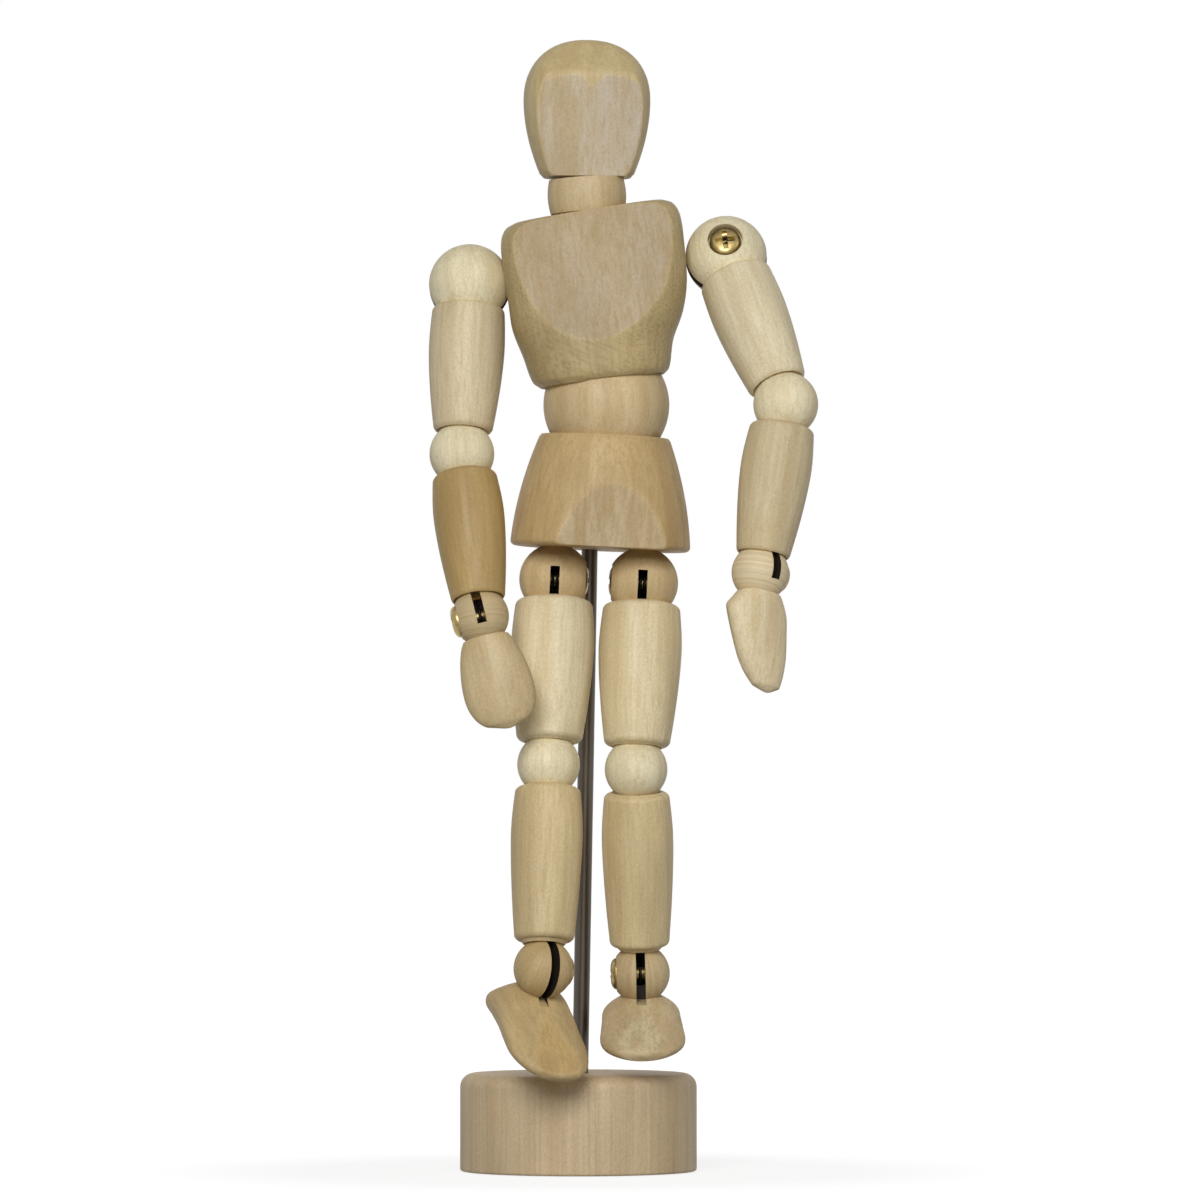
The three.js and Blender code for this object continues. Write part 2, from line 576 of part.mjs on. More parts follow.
// A limb barrel below a joint: rounded ends, a socket at each end, a bore with the spring's coil room
function limbSolid({ from, to, topRadius, belly, footRadius, upperBall, lowerBall, length, coilDepth }) {
  const height = from - to;
  const shoulder = from - LIMB_ROUND;
  const toeEdge = to + LIMB_ROUND;
  const flank = LIMB_TURNING_SHARES.map((share) => {
    const rise = Math.min(1, share / LIMB_BELLY_SHARE);
    const fall = Math.max(0, (share - LIMB_BELLY_SHARE) / (1 - LIMB_BELLY_SHARE));
    const swell = (belly - topRadius) * Math.sin((rise * Math.PI) / 2);
    const taper = (belly - footRadius) * fall ** LIMB_TAPER;
    return [topRadius + swell - taper, from - share * height];
  });
  const foot = arcPoints(footRadius - LIMB_ROUND, toeEdge, LIMB_ROUND, -90, 0, 2);
  const top = arcPoints(topRadius - LIMB_ROUND, shoulder, LIMB_ROUND, 0, 90, 2);
  const barrel = turned([[0, to], ...foot, ...flank.reverse(), ...top, [0, from]], LIMB_SIDES);
  return cut(
    solid(barrel),
    solid(socketBall(upperBall)),
    solid(socketBall(lowerBall).translate(0, 0, -length)),
    solid(bar(wireBore, -length, 0)),
    solid(bar(coilBore, -coilDepth, 0)),
  );
}

// Wire: a tube of rings carried along a route of points without twist
function wireSolid(route) {
  const tangents = route.map((_, i) => {
    const before = route[Math.max(0, i - 1)];
    const after = route[Math.min(route.length - 1, i + 1)];
    return after.clone().sub(before).normalize();
  });
  let across = new THREE.Vector3(1, 2, 2).cross(tangents[0]).normalize();
  const rings = route.map((point, i) => {
    across = across.addScaledVector(tangents[i], -across.dot(tangents[i])).normalize();
    const up = tangents[i].clone().cross(across);
    const start = across.clone();
    return Array.from({ length: WIRE_SIDES }, (_, j) => {
      const angle = (2 * Math.PI * j) / WIRE_SIDES;
      return point.clone()
        .addScaledVector(start, WIRE_RADIUS * Math.cos(angle))
        .addScaledVector(up, WIRE_RADIUS * Math.sin(angle));
    });
  });
  return solid(loft(rings));
}

// An eye bent round a screw or pin, ending on the straight wire towards the spring's body
function eyeRoute(centre, axis, toward) {
  const out = toward.clone().addScaledVector(axis, -toward.dot(axis)).normalize();
  const beside = axis.clone().cross(out);
  const turn = EYE_ANGLES.map((angle) => {
    const a = degrees(angle);
    return centre.clone()
      .addScaledVector(out, eyeRadius * Math.cos(a))
      .addScaledVector(beside, eyeRadius * Math.sin(a));
  });
  return [...turn, centre.clone().addScaledVector(out, EYE_TAIL_SHARE * eyeRadius)];
}

// Coil turns wound about the line from one point towards another, starting and ending on the line
function coilRoute(start, direction, turns) {
  const across = new THREE.Vector3(0, 1, 0).cross(direction).normalize();
  const up = direction.clone().cross(across);
  const steps = turns * TURN_STEPS;
  const route = [start.clone()];
  for (let i = 0; i <= steps; i += 1) {
    const angle = (2 * Math.PI * i) / TURN_STEPS;
    const along = COIL_PITCH * (1 + i / TURN_STEPS);
    route.push(start.clone()
      .addScaledVector(direction, along)
      .addScaledVector(across, COIL_RADIUS * Math.cos(angle))
      .addScaledVector(up, COIL_RADIUS * Math.sin(angle)));
  }
  route.push(start.clone().addScaledVector(direction, COIL_PITCH * (turns + 2)));
  return route;
}

function directionBetween(a, b) {
  return b.clone().sub(a).normalize();
}

// Limb spring: eye, coil inside the first segment, straight wire past the middle ball, second eye
function limbSpring(upper, upperAxis, middle, lower, lowerAxis, coilStart) {
  const first = directionBetween(upper, middle);
  const upperEye = upper.clone().addScaledVector(upperAxis, -EYE_OFFSET);
  const coil = coilRoute(upper.clone().addScaledVector(first, coilStart), first, LIMB_COIL_TURNS);
  const second = eyeRoute(lower, lowerAxis, directionBetween(lower, middle)).reverse();
  return wireSolid([...eyeRoute(upperEye, upperAxis, first), ...coil, middle, ...second]);
}

function rotated(x, y, z) {
  return [degrees(x), degrees(y), degrees(z)];
}

const upperArm = {
  from: -SHOULDER_STEP,
  to: -UPPER_ARM_LENGTH + ELBOW_STEP,
  topRadius: UPPER_ARM_TOP_RADIUS,
  belly: UPPER_ARM_RADIUS,
  footRadius: UPPER_ARM_FOOT_RADIUS,
  upperBall: SHOULDER_RADIUS,
  lowerBall: ELBOW_RADIUS,
  length: UPPER_ARM_LENGTH,
  coilDepth: SHOULDER_RADIUS + limbCoilRoom,
};
const forearm = {
  from: -ELBOW_STEP,
  to: -FOREARM_LENGTH + WRIST_STEP,
  topRadius: FOREARM_TOP_RADIUS,
  belly: FOREARM_RADIUS,
  footRadius: FOREARM_FOOT_RADIUS,
  upperBall: ELBOW_RADIUS,
  lowerBall: WRIST_RADIUS,
  length: FOREARM_LENGTH,
  coilDepth: ELBOW_RADIUS,
};
const thigh = {
  from: -HIP_STEP,
  to: -THIGH_LENGTH + KNEE_STEP,
  topRadius: THIGH_TOP_RADIUS,
  belly: THIGH_RADIUS,
  footRadius: THIGH_FOOT_RADIUS,
  upperBall: HIP_RADIUS,
  lowerBall: KNEE_RADIUS,
  length: THIGH_LENGTH,
  coilDepth: HIP_RADIUS + limbCoilRoom,
};
const calf = {
  from: -KNEE_STEP,
  to: -CALF_LENGTH + ANKLE_STEP,
  topRadius: CALF_TOP_RADIUS,
  belly: CALF_RADIUS,
  footRadius: CALF_FOOT_RADIUS,
  upperBall: KNEE_RADIUS,
  lowerBall: ANKLE_RADIUS,
  length: CALF_LENGTH,
  coilDepth: KNEE_RADIUS,
};

// Shoulder ball: slotted in the plane of the arm, with its screw through from front to back
function shoulderBallSolid() {
  const sawn = cut(solid(ball(SHOULDER_RADIUS)), slot(SHOULDER_RADIUS, -SHOULDER_RADIUS - 1, eyeReach, 0));
  return cut(sawn, screwHole(SHOULDER_RADIUS));
}

// Hip ball: slotted from below past its screw, with a small hole up to the pelvis
function hipBallSolid(opening) {
  const sawn = cut(solid(ball(HIP_RADIUS)), slot(HIP_RADIUS, -HIP_RADIUS - 1, eyeReach, opening));
  return cut(sawn, screwHole(HIP_RADIUS), solid(bar(wireBore, 0, HIP_RADIUS + 1)));
}

// Hand: a carved mitten below its slotted wrist ball, flat from front to back
function handSolid(opening, sweep) {
  const rings = HAND_STATIONS.map(([share, widthShare, thicknessShare, shift]) => {
    const halfWidth = HAND_HALF_WIDTH * widthShare;
    const halfThickness = HAND_HALF_THICKNESS * thicknessShare;
    return ovalRing(CARVED_SIDES, halfWidth, halfThickness, HAND_SQUARENESS, (x, y) =>
      new THREE.Vector3(x + shift * sweep, -y, -share * HAND_LENGTH));
  });
  const upward = rings.reverse().map((ring) => ring.slice().reverse());
  const whole = solid(loft(upward)).add(solid(ball(WRIST_RADIUS)));
  return cut(whole, slot(WRIST_RADIUS, -eyeReach, WRIST_RADIUS + 1, opening), screwHole(WRIST_RADIUS));
}

// Foot: a carved shoe below its slotted ankle ball, with a flat sole and a planed instep
function footSolid(screwFacing) {
  const sole = -SOLE_BELOW_ANKLE;
  const rings = FOOT_STATIONS.map(([along, width, lift, top]) => {
    const bottom = sole + lift;
    const middle = (top + bottom) / 2;
    return ovalRing(CARVED_SIDES, FOOT_HALF_WIDTH * width, (top - bottom) / 2, FOOT_SQUARENESS, (x, y) =>
      new THREE.Vector3(x, along, middle + y));
  });
  const block = 2 * TOE_LENGTH;
  const instep = new THREE.BoxGeometry(block, block, block).translate(0, 0, block / 2).rotateX(INSTEP_TILT);
  const shoe = cut(solid(loft(rings)), solid(instep.translate(0, -TOE_LENGTH / 2, INSTEP_HEIGHT)));
  const whole = shoe.add(solid(ball(ANKLE_RADIUS)));
  const drilled = screwHole(ANKLE_RADIUS).rotate([0, 0, screwFacing]);
  return cut(whole, slot(ANKLE_RADIUS, -ANKLE_SLOT_DEPTH, ANKLE_RADIUS + 1, 1), drilled);
}

// Arms and legs, from the trunk outwards; the screws' heads face out on the arms and in on the legs
const sides = { right: -1, left: 1 };
const limbs = {};
for (const [name, side] of Object.entries(sides)) {
  const arm = ARM_POSE[name];
  const screwFacing = side > 0 ? -90 : 90;
  const armTurn = rotated(-arm.turn, 0, 0);
  const shoulder = pivot(`${name}_shoulder_turn`, chestFrame, shoulderPlace(side), armTurn, [-1, 0, 0]);
  const screwTurn = rotated(0, 0, screwFacing);
  const shoulderTurned = pivot(`${name}_shoulder_screw_axis`, shoulder, [0, 0, 0], screwTurn);
  addPiece(`${name}_shoulder_ball`, shoulderBallSolid(), shoulderTurned, paleWood);
  addPiece(`${name}_shoulder_screw`, screwSolid(SHOULDER_RADIUS), shoulderTurned, brassPlate);

  const armRaise = rotated(0, -arm.raise, 0);
  const upper = pivot(`${name}_shoulder_raise`, shoulder, [0, 0, 0], armRaise, [0, -side, 0]);
  addPiece(`${name}_upper_arm`, limbSolid(upperArm), upper, paleWood);
  const halfElbow = rotated(-arm.elbowSwing / 2, -arm.elbowLean / 2, 0);
  const elbow = pivot(`${name}_elbow_bend`, upper, [0, 0, -UPPER_ARM_LENGTH], halfElbow, [-1, 0, 0]);
  addPiece(`${name}_elbow_ball`, boredBall(ELBOW_RADIUS), elbow, paleWood);
  const fore = pivot(`${name}_forearm_turn`, elbow, [0, 0, 0], halfElbow, [0, 0, 1]);
  addPiece(`${name}_forearm`, limbSolid(forearm), fore, goldenWood);

  const wristTurn = rotated(-arm.wristSwing, -arm.wristLean, side * arm.palmTurn);
  const hand = pivot(`${name}_wrist_bend`, fore, [0, 0, -FOREARM_LENGTH], wristTurn, [-1, 0, 0]);
  const handFacing = pivot(`${name}_wrist_screw_axis`, hand, [0, 0, 0], rotated(0, 0, side > 0 ? 0 : 180));
  addPiece(`${name}_hand`, handSolid(side, arm.handSweep), handFacing, tanWood);
  addPiece(`${name}_wrist_screw`, screwSolid(WRIST_RADIUS), handFacing, brassPlate);

  const leg = LEG_POSE[name];
  const hipPlace = [side * HIP_SIDEWAYS, 0, -HIP_BELOW_PELVIS];
  const hip = pivot(`${name}_hip_turn`, pelvisFrame, hipPlace, [0, 0, 0], [0, 0, side]);
  const hipFacing = pivot(`${name}_hip_screw_axis`, hip, [0, 0, 0], rotated(0, 0, side > 0 ? 180 : 0));
  addPiece(`${name}_hip_ball`, hipBallSolid(-side), hipFacing, paleWood);
  addPiece(`${name}_hip_screw`, screwSolid(HIP_RADIUS), hipFacing, brassPlate);

  const legSwing = rotated(-leg.swing, -leg.lean, 0);
  const thighFrame = pivot(`${name}_hip_swing`, hip, [0, 0, 0], legSwing, [-1, 0, 0]);
  addPiece(`${name}_thigh`, limbSolid(thigh), thighFrame, paleWood);
  const halfKnee = rotated(-leg.kneeSwing / 2, -leg.kneeLean / 2, 0);
  const knee = pivot(`${name}_knee_bend`, thighFrame, [0, 0, -THIGH_LENGTH], halfKnee, [1, 0, 0]);
  addPiece(`${name}_knee_ball`, boredBall(KNEE_RADIUS), knee, paleWood);
  const shinTurn = [halfKnee[0], halfKnee[1], degrees(leg.shinTurn)];
  const shin = pivot(`${name}_shin_turn`, knee, [0, 0, 0], shinTurn, [0, 0, 1]);
  addPiece(`${name}_calf`, limbSolid(calf), shin, paleWood);

  const foot = pivot(`${name}_ankle_bend`, shin, [0, 0, -CALF_LENGTH], rotated(leg.droop, 0, 0), [-1, 0, 0]);
  const footFacing = side > 0 ? 180 : 0;
  const footScrew = pivot(`${name}_ankle_screw_axis`, foot, [0, 0, 0], rotated(0, 0, footFacing));
  addPiece(`${name}_foot`, footSolid(footFacing), foot, goldenWood);
  addPiece(`${name}_ankle_screw`, screwSolid(ANKLE_RADIUS), footScrew, brassPlate);

  limbs[name] = { shoulder, upper, elbow, hand, hip, thighFrame, knee, foot, side };
}

// Springs, routed through the pieces as they stand at rest
mannequin.updateMatrixWorld(true);

function at(frame, x = 0, y = 0, z = 0) {
  return frame.localToWorld(new THREE.Vector3(x, y, z));
}

function axisOf(frame, x, y, z) {
  return new THREE.Vector3(x, y, z).transformDirection(frame.matrixWorld);
}

for (const [name, limb] of Object.entries(limbs)) {
  const armSpring = limbSpring(
    at(limb.shoulder),
    axisOf(limb.shoulder, 0, 1, 0),
    at(limb.elbow),
    at(limb.hand),
    axisOf(limb.hand, 1, 0, 0),
    SHOULDER_RADIUS,
  );
  addPiece(`${name}_arm_spring`, armSpring, mannequin, darkSteel);
  const legSpring = limbSpring(
    at(limb.hip),
    axisOf(limb.hip, 1, 0, 0),
    at(limb.knee),
    at(limb.foot),
    axisOf(limb.foot, 1, 0, 0),
    HIP_RADIUS,
  );
  addPiece(`${name}_leg_spring`, legSpring, mannequin, darkSteel);

  const hipCentre = at(limb.hip);
  const hipAxis = axisOf(limb.hip, 1, 0, 0);
  const pinEye = at(pelvisFrame, limb.side * HIP_SIDEWAYS, 0, PELVIS_PIN_HEIGHT);
  const upward = directionBetween(hipCentre, pinEye);
  const hipCoil = coilRoute(hipCentre.clone().addScaledVector(upward, HIP_RADIUS), upward, HIP_COIL_TURNS);
  const hipEye = eyeRoute(hipCentre.clone().addScaledVector(hipAxis, EYE_OFFSET), hipAxis, upward);
  const pelvisEye = eyeRoute(pinEye, hipAxis, upward.clone().negate()).reverse();
  addPiece(`${name}_hip_spring`, wireSolid([...hipEye, ...hipCoil, ...pelvisEye]), mannequin, darkSteel);
}

function shoulderSpring() {
  const from = at(limbs.right.shoulder);
  const to = at(limbs.left.shoulder);
  const across = directionBetween(from, to);
  const rightAxis = axisOf(limbs.right.shoulder, 0, 1, 0);
  const leftAxis = axisOf(limbs.left.shoulder, 0, 1, 0);
  const rightEye = eyeRoute(from.clone().addScaledVector(rightAxis, EYE_OFFSET), rightAxis, across);
  const coil = coilRoute(from.clone().addScaledVector(across, SHOULDER_RADIUS), across, SHOULDER_COIL_TURNS);
  const leftCentre = to.clone().addScaledVector(leftAxis, EYE_OFFSET);
  const leftEye = eyeRoute(leftCentre, leftAxis, across.clone().negate()).reverse();
  return wireSolid([...rightEye, ...coil, ...leftEye]);
}

function torsoSpring() {
  const pinAxis = axisOf(pelvisFrame, 1, 0, 0);
  const pin = at(pelvisFrame, 0, 0, PELVIS_PIN_HEIGHT);
  const waist = at(waistFrame);
  const neck = at(neckFrame);
  const crown = at(headFrame, 0, 0, headPinRise);
  const chestAxis = directionBetween(waist, neck);
  const coilFoot = waist.clone().addScaledVector(chestAxis, WAIST_RADIUS - COIL_PITCH);
  const coil = coilRoute(coilFoot, chestAxis, TORSO_COIL_TURNS);
  const lowerEye = eyeRoute(pin, pinAxis, directionBetween(pin, waist));
  const upperEye = eyeRoute(crown, axisOf(headFrame, 1, 0, 0), directionBetween(crown, neck)).reverse();
  return wireSolid([...lowerEye, waist, ...coil, neck, ...upperEye]);
}

addPiece('shoulder_spring', shoulderSpring(), mannequin, darkSteel);
addPiece('torso_spring', torsoSpring(), mannequin, darkSteel);

export default mannequin;
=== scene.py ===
import json
import math

import bmesh
import bpy
from mathutils import Matrix, Vector


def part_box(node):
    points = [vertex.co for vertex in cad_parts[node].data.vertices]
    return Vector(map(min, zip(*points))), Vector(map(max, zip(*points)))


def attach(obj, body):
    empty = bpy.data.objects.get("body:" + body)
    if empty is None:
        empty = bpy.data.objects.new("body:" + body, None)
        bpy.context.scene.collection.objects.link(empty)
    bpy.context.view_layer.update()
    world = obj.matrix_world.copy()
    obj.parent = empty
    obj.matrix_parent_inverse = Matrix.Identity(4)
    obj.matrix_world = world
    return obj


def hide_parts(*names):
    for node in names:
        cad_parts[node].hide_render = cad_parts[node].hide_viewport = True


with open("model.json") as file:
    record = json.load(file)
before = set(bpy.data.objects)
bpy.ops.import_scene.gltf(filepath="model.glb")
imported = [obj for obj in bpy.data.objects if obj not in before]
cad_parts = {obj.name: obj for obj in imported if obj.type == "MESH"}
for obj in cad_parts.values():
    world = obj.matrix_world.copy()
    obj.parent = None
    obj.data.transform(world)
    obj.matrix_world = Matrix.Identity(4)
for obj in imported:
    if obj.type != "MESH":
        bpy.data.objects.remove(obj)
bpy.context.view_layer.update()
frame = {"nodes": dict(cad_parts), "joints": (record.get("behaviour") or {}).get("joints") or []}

joints = {joint["name"]: joint for joint in frame["joints"]}


# Base
# A round block of tan hardwood, turned on a lathe with a rounded top edge and left bare.
# It stands on its flat underside and carries the steel rod in a hole drilled from the top.
MM = 0.001


def linear(hex_colour):
    channels = [int(hex_colour[i:i + 2], 16) / 255 for i in (1, 3, 5)]
    light = [c / 12.92 if c <= 0.04045 else ((c + 0.055) / 1.055) ** 2.4 for c in channels]
    return (*light, 1.0)


def place_of(joint_name):
    return Vector(joints[joint_name]["pos_m"]) / MM


def axis_of(joint_name):
    return Vector(joints[joint_name]["axis"]).normalized()


# A seat is a piece's own frame in millimetres: where it sits and which way its X and Z point
def seat(origin, x_way, z_way):
    up = z_way.normalized()
    across = (x_way - up * x_way.dot(up)).normalized()
    back = up.cross(across)
    turn = Matrix((across, back, up)).transposed().to_4x4()
    return Matrix.Translation(origin) @ turn


def arc(radius_at, height_at, radius, start, end, steps=8):
    points = []
    for i in range(steps + 1):
        angle = math.radians(start + (end - start) * i / steps)
        points.append((radius_at + radius * math.cos(angle), height_at + radius * math.sin(angle)))
    return points


# Every shaped mesh keeps its own millimetre coordinates as "grain", each in another part of the tree,
# so that the figure of the wood follows the blank, and "sanded", how far a plane has bitten there;
# steel and cutters pass through it too and don't read them
def next_blank():
    return Vector((17.3, 9.1, 41.7)) * len(bpy.data.meshes)


def shaped_piece(name, points, faces, piece_seat, sanded=None, lengthwise=2):
    mesh = bpy.data.meshes.new(name)
    mesh.from_pydata([(piece_seat @ p) * MM for p in points], [], faces)
    grain = mesh.attributes.new("grain", "FLOAT_VECTOR", "POINT")
    blank = next_blank()
    cross_ways = [axis for axis in range(3) if axis != lengthwise]
    order = [*cross_ways, lengthwise]
    grain.data.foreach_set("vector", [p[axis] + blank[axis] for p in points for axis in order])
    bite = mesh.attributes.new("sanded", "FLOAT", "POINT")
    bite.data.foreach_set("value", sanded or [0.0] * len(points))
    piece = bpy.data.objects.new(name, mesh)
    bpy.context.scene.collection.objects.link(piece)
    outward(mesh)
    return piece


def outward(mesh, sharp=40):
    shell = bmesh.new()
    shell.from_mesh(mesh)
    bmesh.ops.remove_doubles(shell, verts=shell.verts, dist=1e-7)
    bmesh.ops.recalc_face_normals(shell, faces=shell.faces)
    shell.to_mesh(mesh)
    shell.free()
    mesh.shade_smooth()
    mesh.set_sharp_from_angle(angle=math.radians(sharp))


# A lathe: the profile is (radius, height) points that run up the outside and close on the axis
# or on themselves
def turned_points(profile, sides):
    points = []
    faces = []
    for radius, height in profile:
        for j in range(sides):
            angle = 2 * math.pi * j / sides
            points.append(Vector((radius * math.cos(angle), radius * math.sin(angle), height)))
    rows = len(profile)
    closed = profile[0][0] > 0
    for i in range(rows if closed else rows - 1):
        low = i * sides
        high = ((i + 1) % rows) * sides
        for j in range(sides):
            k = (j + 1) % sides
            faces.append((low + j, low + k, high + k, high + j))
    return points, faces


# One node with its settings and inputs; an input is a value or another node's output
def add(tree, kind, inputs=None, **settings):
    made = tree.nodes.new(kind)
    for key, value in settings.items():
        setattr(made, key, value)
    for key, value in (inputs or {}).items():
        if isinstance(value, bpy.types.NodeSocket):
            tree.links.new(value, made.inputs[key])
        else:
            made.inputs[key].default_value = value
    return made


def new_material(name):
    material = bpy.data.materials.new(name)
    material.use_nodes = True
    return material, material.node_tree, material.node_tree.nodes["Principled BSDF"]


# Bare sanded hardwood, from the colour of its open face: long fibre lines about 0.4 mm apart, soft
# darker growth bands a couple of millimetres wide, sparse ray flecks 0.15 mm across and a fine mottle,
# with a drier skin in the second colour where a plane has cut across the turned face, slanting marks
# where a saw was left to show, painted shade coloured near black on the faces inside a slot, and a
# painted highlight a little lighter along the arris of each flat
def bare_wood(name, turned_face, planed_face=None, band_width=2.2, saw_marks=0.0):
    material, tree, shader = new_material(name)
    face = linear(turned_face)
    dark = tuple(c * keep for c, keep in zip(face, (0.78, 0.72, 0.62, 1)))
    brown = tuple(c * keep for c, keep in zip(face, (0.5, 0.43, 0.34, 1)))
    grain = add(tree, "ShaderNodeAttribute", attribute_name="grain").outputs["Vector"]
    bite = add(tree, "ShaderNodeAttribute", attribute_name="sanded").outputs["Fac"]
    slot_shade = add(tree, "ShaderNodeAttribute", attribute_name="painted_slot_shade").outputs["Fac"]
    slant = {"Vector": grain, "Axis": (0, 1, 0), "Angle": math.radians(62)}
    sawn_way = add(tree, "ShaderNodeVectorRotate", slant).outputs[0]

    # Each pattern: its axes, its width across the grain in mm, its squash along the grain
    figure = {}
    for part, lie, width, stretch, detail, roughness in (
        ("fibre", grain, 0.42, 0.02, 4, 0.6),
        ("bands", grain, band_width, 0.045, 2, 0.5),
        ("rays", grain, 0.15, 0.22, 1, 0.5),
        ("mottle", grain, 0.22, 0.7, 3, 0.7),
        ("cloud", grain, 8.0, 0.5, 3, 0.5),
        ("saw", sawn_way, 0.3, 0.07, 3, 0.6),
    ):
        along = add(tree, "ShaderNodeMapping", {"Vector": lie, "Scale": (1, 1, stretch)}).outputs[0]
        noise = {"Vector": along, "Scale": 1 / width, "Detail": detail, "Roughness": roughness}
        figure[part] = add(tree, "ShaderNodeTexNoise", noise).outputs["Fac"]
    unplaned_saw = add(tree, "ShaderNodeMath", {0: figure["saw"], 1: bite}, operation="SUBTRACT").outputs[0]
    # Painted highlight: a thin band along the arris, where a flat meets the turned face, is made up to 5%
    # lighter
    arris_highlight = add(tree, "ShaderNodeMath", {0: bite, 1: 0.45, 2: 0.4}, operation="COMPARE").outputs[0]

    skins = {"Factor": bite, 6: face, 7: linear(planed_face or turned_face)}
    colour = add(tree, "ShaderNodeMix", skins, data_type="RGBA").outputs[2]
    for pattern, low, high, most, tone in (
        (figure["bands"], 0.4, 0.68, 0.6, dark),
        (figure["fibre"], 0.42, 0.7, 0.55, dark),
        (figure["rays"], 0.64, 0.76, 0.3, brown),
        (unplaned_saw, 0.46, 0.68, saw_marks, brown),
        # painted shade: the faces marked inside a slot are coloured near black
        (slot_shade, 0.0, 1.0, 1.0, linear("#1E150D")),
    ):
        span = {"Value": pattern, "From Min": low, "From Max": high, "To Max": most}
        amount = add(tree, "ShaderNodeMapRange", span, interpolation_type="SMOOTHSTEP").outputs[0]
        stained = {"Factor": amount, 6: colour, 7: tone}
        colour = add(tree, "ShaderNodeMix", stained, data_type="RGBA").outputs[2]
    for pattern, low, high, least, most in (
        (figure["cloud"], 0.3, 0.7, 0.93, 1.06),
        (figure["mottle"], 0.3, 0.7, 0.91, 1.08),
        (arris_highlight, 0.0, 1.0, 1.0, 1.05),
    ):
        span = {"Value": pattern, "From Min": low, "From Max": high, "To Min": least, "To Max": most}
        shade = add(tree, "ShaderNodeMapRange", span, interpolation_type="SMOOTHSTEP").outputs[0]
        colour = add(tree, "ShaderNodeVectorMath", {0: colour, "Scale": shade}, operation="SCALE").outputs[0]
    tree.links.new(colour, shader.inputs["Base Color"])

    span = {"Value": figure["fibre"], "From Min": 0.3, "From Max": 0.7, "To Min": 0.5, "To Max": 0.66}
    sheen = add(tree, "ShaderNodeMapRange", span).outputs[0]
    drier = add(tree, "ShaderNodeMath", {0: bite, 1: 0.14, 2: sheen}, operation="MULTIPLY_ADD").outputs[0]
    tree.links.new(drier, shader.inputs["Roughness"])
    height = add(tree, "ShaderNodeMath", {0: figure["fibre"], 1: figure["mottle"]}).outputs[0]
    bump = add(tree, "ShaderNodeBump", {"Height": height, "Strength": 0.3, "Distance": 0.06 * MM}).outputs[0]
    tree.links.new(bump, shader.inputs["Normal"])
    shader.inputs["IOR"].default_value = 1.5
    return material


def finish_piece(piece, material, body, node):
    piece.data.materials.clear()
    piece.data.materials.append(material)
    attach(piece, body)
    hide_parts(node)


base_low, base_high = (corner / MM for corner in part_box("base"))
base_radius = (base_high.x - base_low.x) / 2
base_height = base_high.z
base_top_round = 1.7
base_foot_round = 0.35
rod_hole_edge = 0.15
rod_hole_gap = 0.2
rod_low, rod_high = (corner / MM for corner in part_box("support_rod"))
rod_radius = (rod_high.y - rod_low.y) / 2
rod_way = axis_of("figure_turn")
rod_hole = rod_radius + rod_hole_gap

base_profile = [(0, 0), (base_radius * 0.5, 0)]
base_profile += arc(base_radius - base_foot_round, base_foot_round, base_foot_round, -90, 0)
base_profile += arc(base_radius - base_top_round, base_height - base_top_round, base_top_round, 0, 90, 12)
base_profile += [(base_radius * 0.5, base_height), (rod_hole + rod_hole_edge, base_height)]
hole_floor = rod_low.z - rod_hole_gap
base_profile += [(rod_hole, base_height - rod_hole_edge), (rod_hole, hole_floor), (0, hole_floor)]
base_points, base_faces = turned_points(base_profile, 128)
base = shaped_piece("turned_base", base_points, base_faces, Matrix.Identity(4))
base_wood = bare_wood("bare_beech_base", "#C4AF8D", band_width=3.0)
finish_piece(base, base_wood, "stand", "base")


# Support rod
# A length of dark drawn steel wire, 2 mm thick, pushed into the base and up into the back of
# the pelvis. It is left as drawn, with a faint lengthwise sheen and no plating.
def drawn_steel(name, colour, roughness):
    material, tree, shader = new_material(name)
    where = add(tree, "ShaderNodeTexCoord").outputs["Object"]
    lines = add(tree, "ShaderNodeMapping", {"Vector": where, "Scale": (1, 1, 0.02)}).outputs[0]
    draw_marks = add(tree, "ShaderNodeTexNoise", {"Vector": lines, "Scale": 1 / (0.15 * MM), "Detail": 3})
    rough = add(tree, "ShaderNodeMapRange", {
        "Value": draw_marks.outputs["Fac"], "To Min": roughness - 0.1, "To Max": roughness + 0.12,
    }).outputs[0]
    tree.links.new(rough, shader.inputs["Roughness"])
    shader.inputs["Base Color"].default_value = linear(colour)
    shader.inputs["Metallic"].default_value = 1.0
    return material


rod_steel = drawn_steel("dark_drawn_steel", "#57514A", 0.38)
rod_length = (rod_high.z - rod_low.z) / rod_way.z
rod_edge = 0.15
rod_profile = [(0, 0), (rod_radius - rod_edge, 0), (rod_radius, rod_edge)]
rod_profile += [(rod_radius, rod_length - rod_edge), (rod_radius - rod_edge, rod_length), (0, rod_length)]
rod_points, rod_faces = turned_points(rod_profile, 48)
rod_foot = rod_way * (rod_low.z / rod_way.z)
rod = shaped_piece("steel_rod", rod_points, rod_faces, seat(rod_foot, Vector((1, 0, 0)), rod_way))
finish_piece(rod, rod_steel, "stand", "support_rod")


# Pelvis
# A turned bell of golden-brown wood with one flat sanded on the lower front. The waist ball sits
# in a cup in its top, the two hip balls in shallow cups below, and the rod runs up into it behind them.
full_bite = 0.12


# Presses points down to flats with a soft arris, and gives how far the plane bit at each point
def planed(points, flats, softness=0.09):
    cut_points = []
    bites = []
    for point in points:
        moved = point.copy()
        bite = 0.0
        for origin, normal in flats:
            beyond = (moved - origin).dot(normal)
            push = softness * math.log1p(math.exp(min(beyond / softness, 60.0)))
            moved -= normal * push
            bite = max(bite, min(1.0, beyond / full_bite))
        cut_points.append(moved)
        bites.append(max(0.0, bite))
    return cut_points, bites


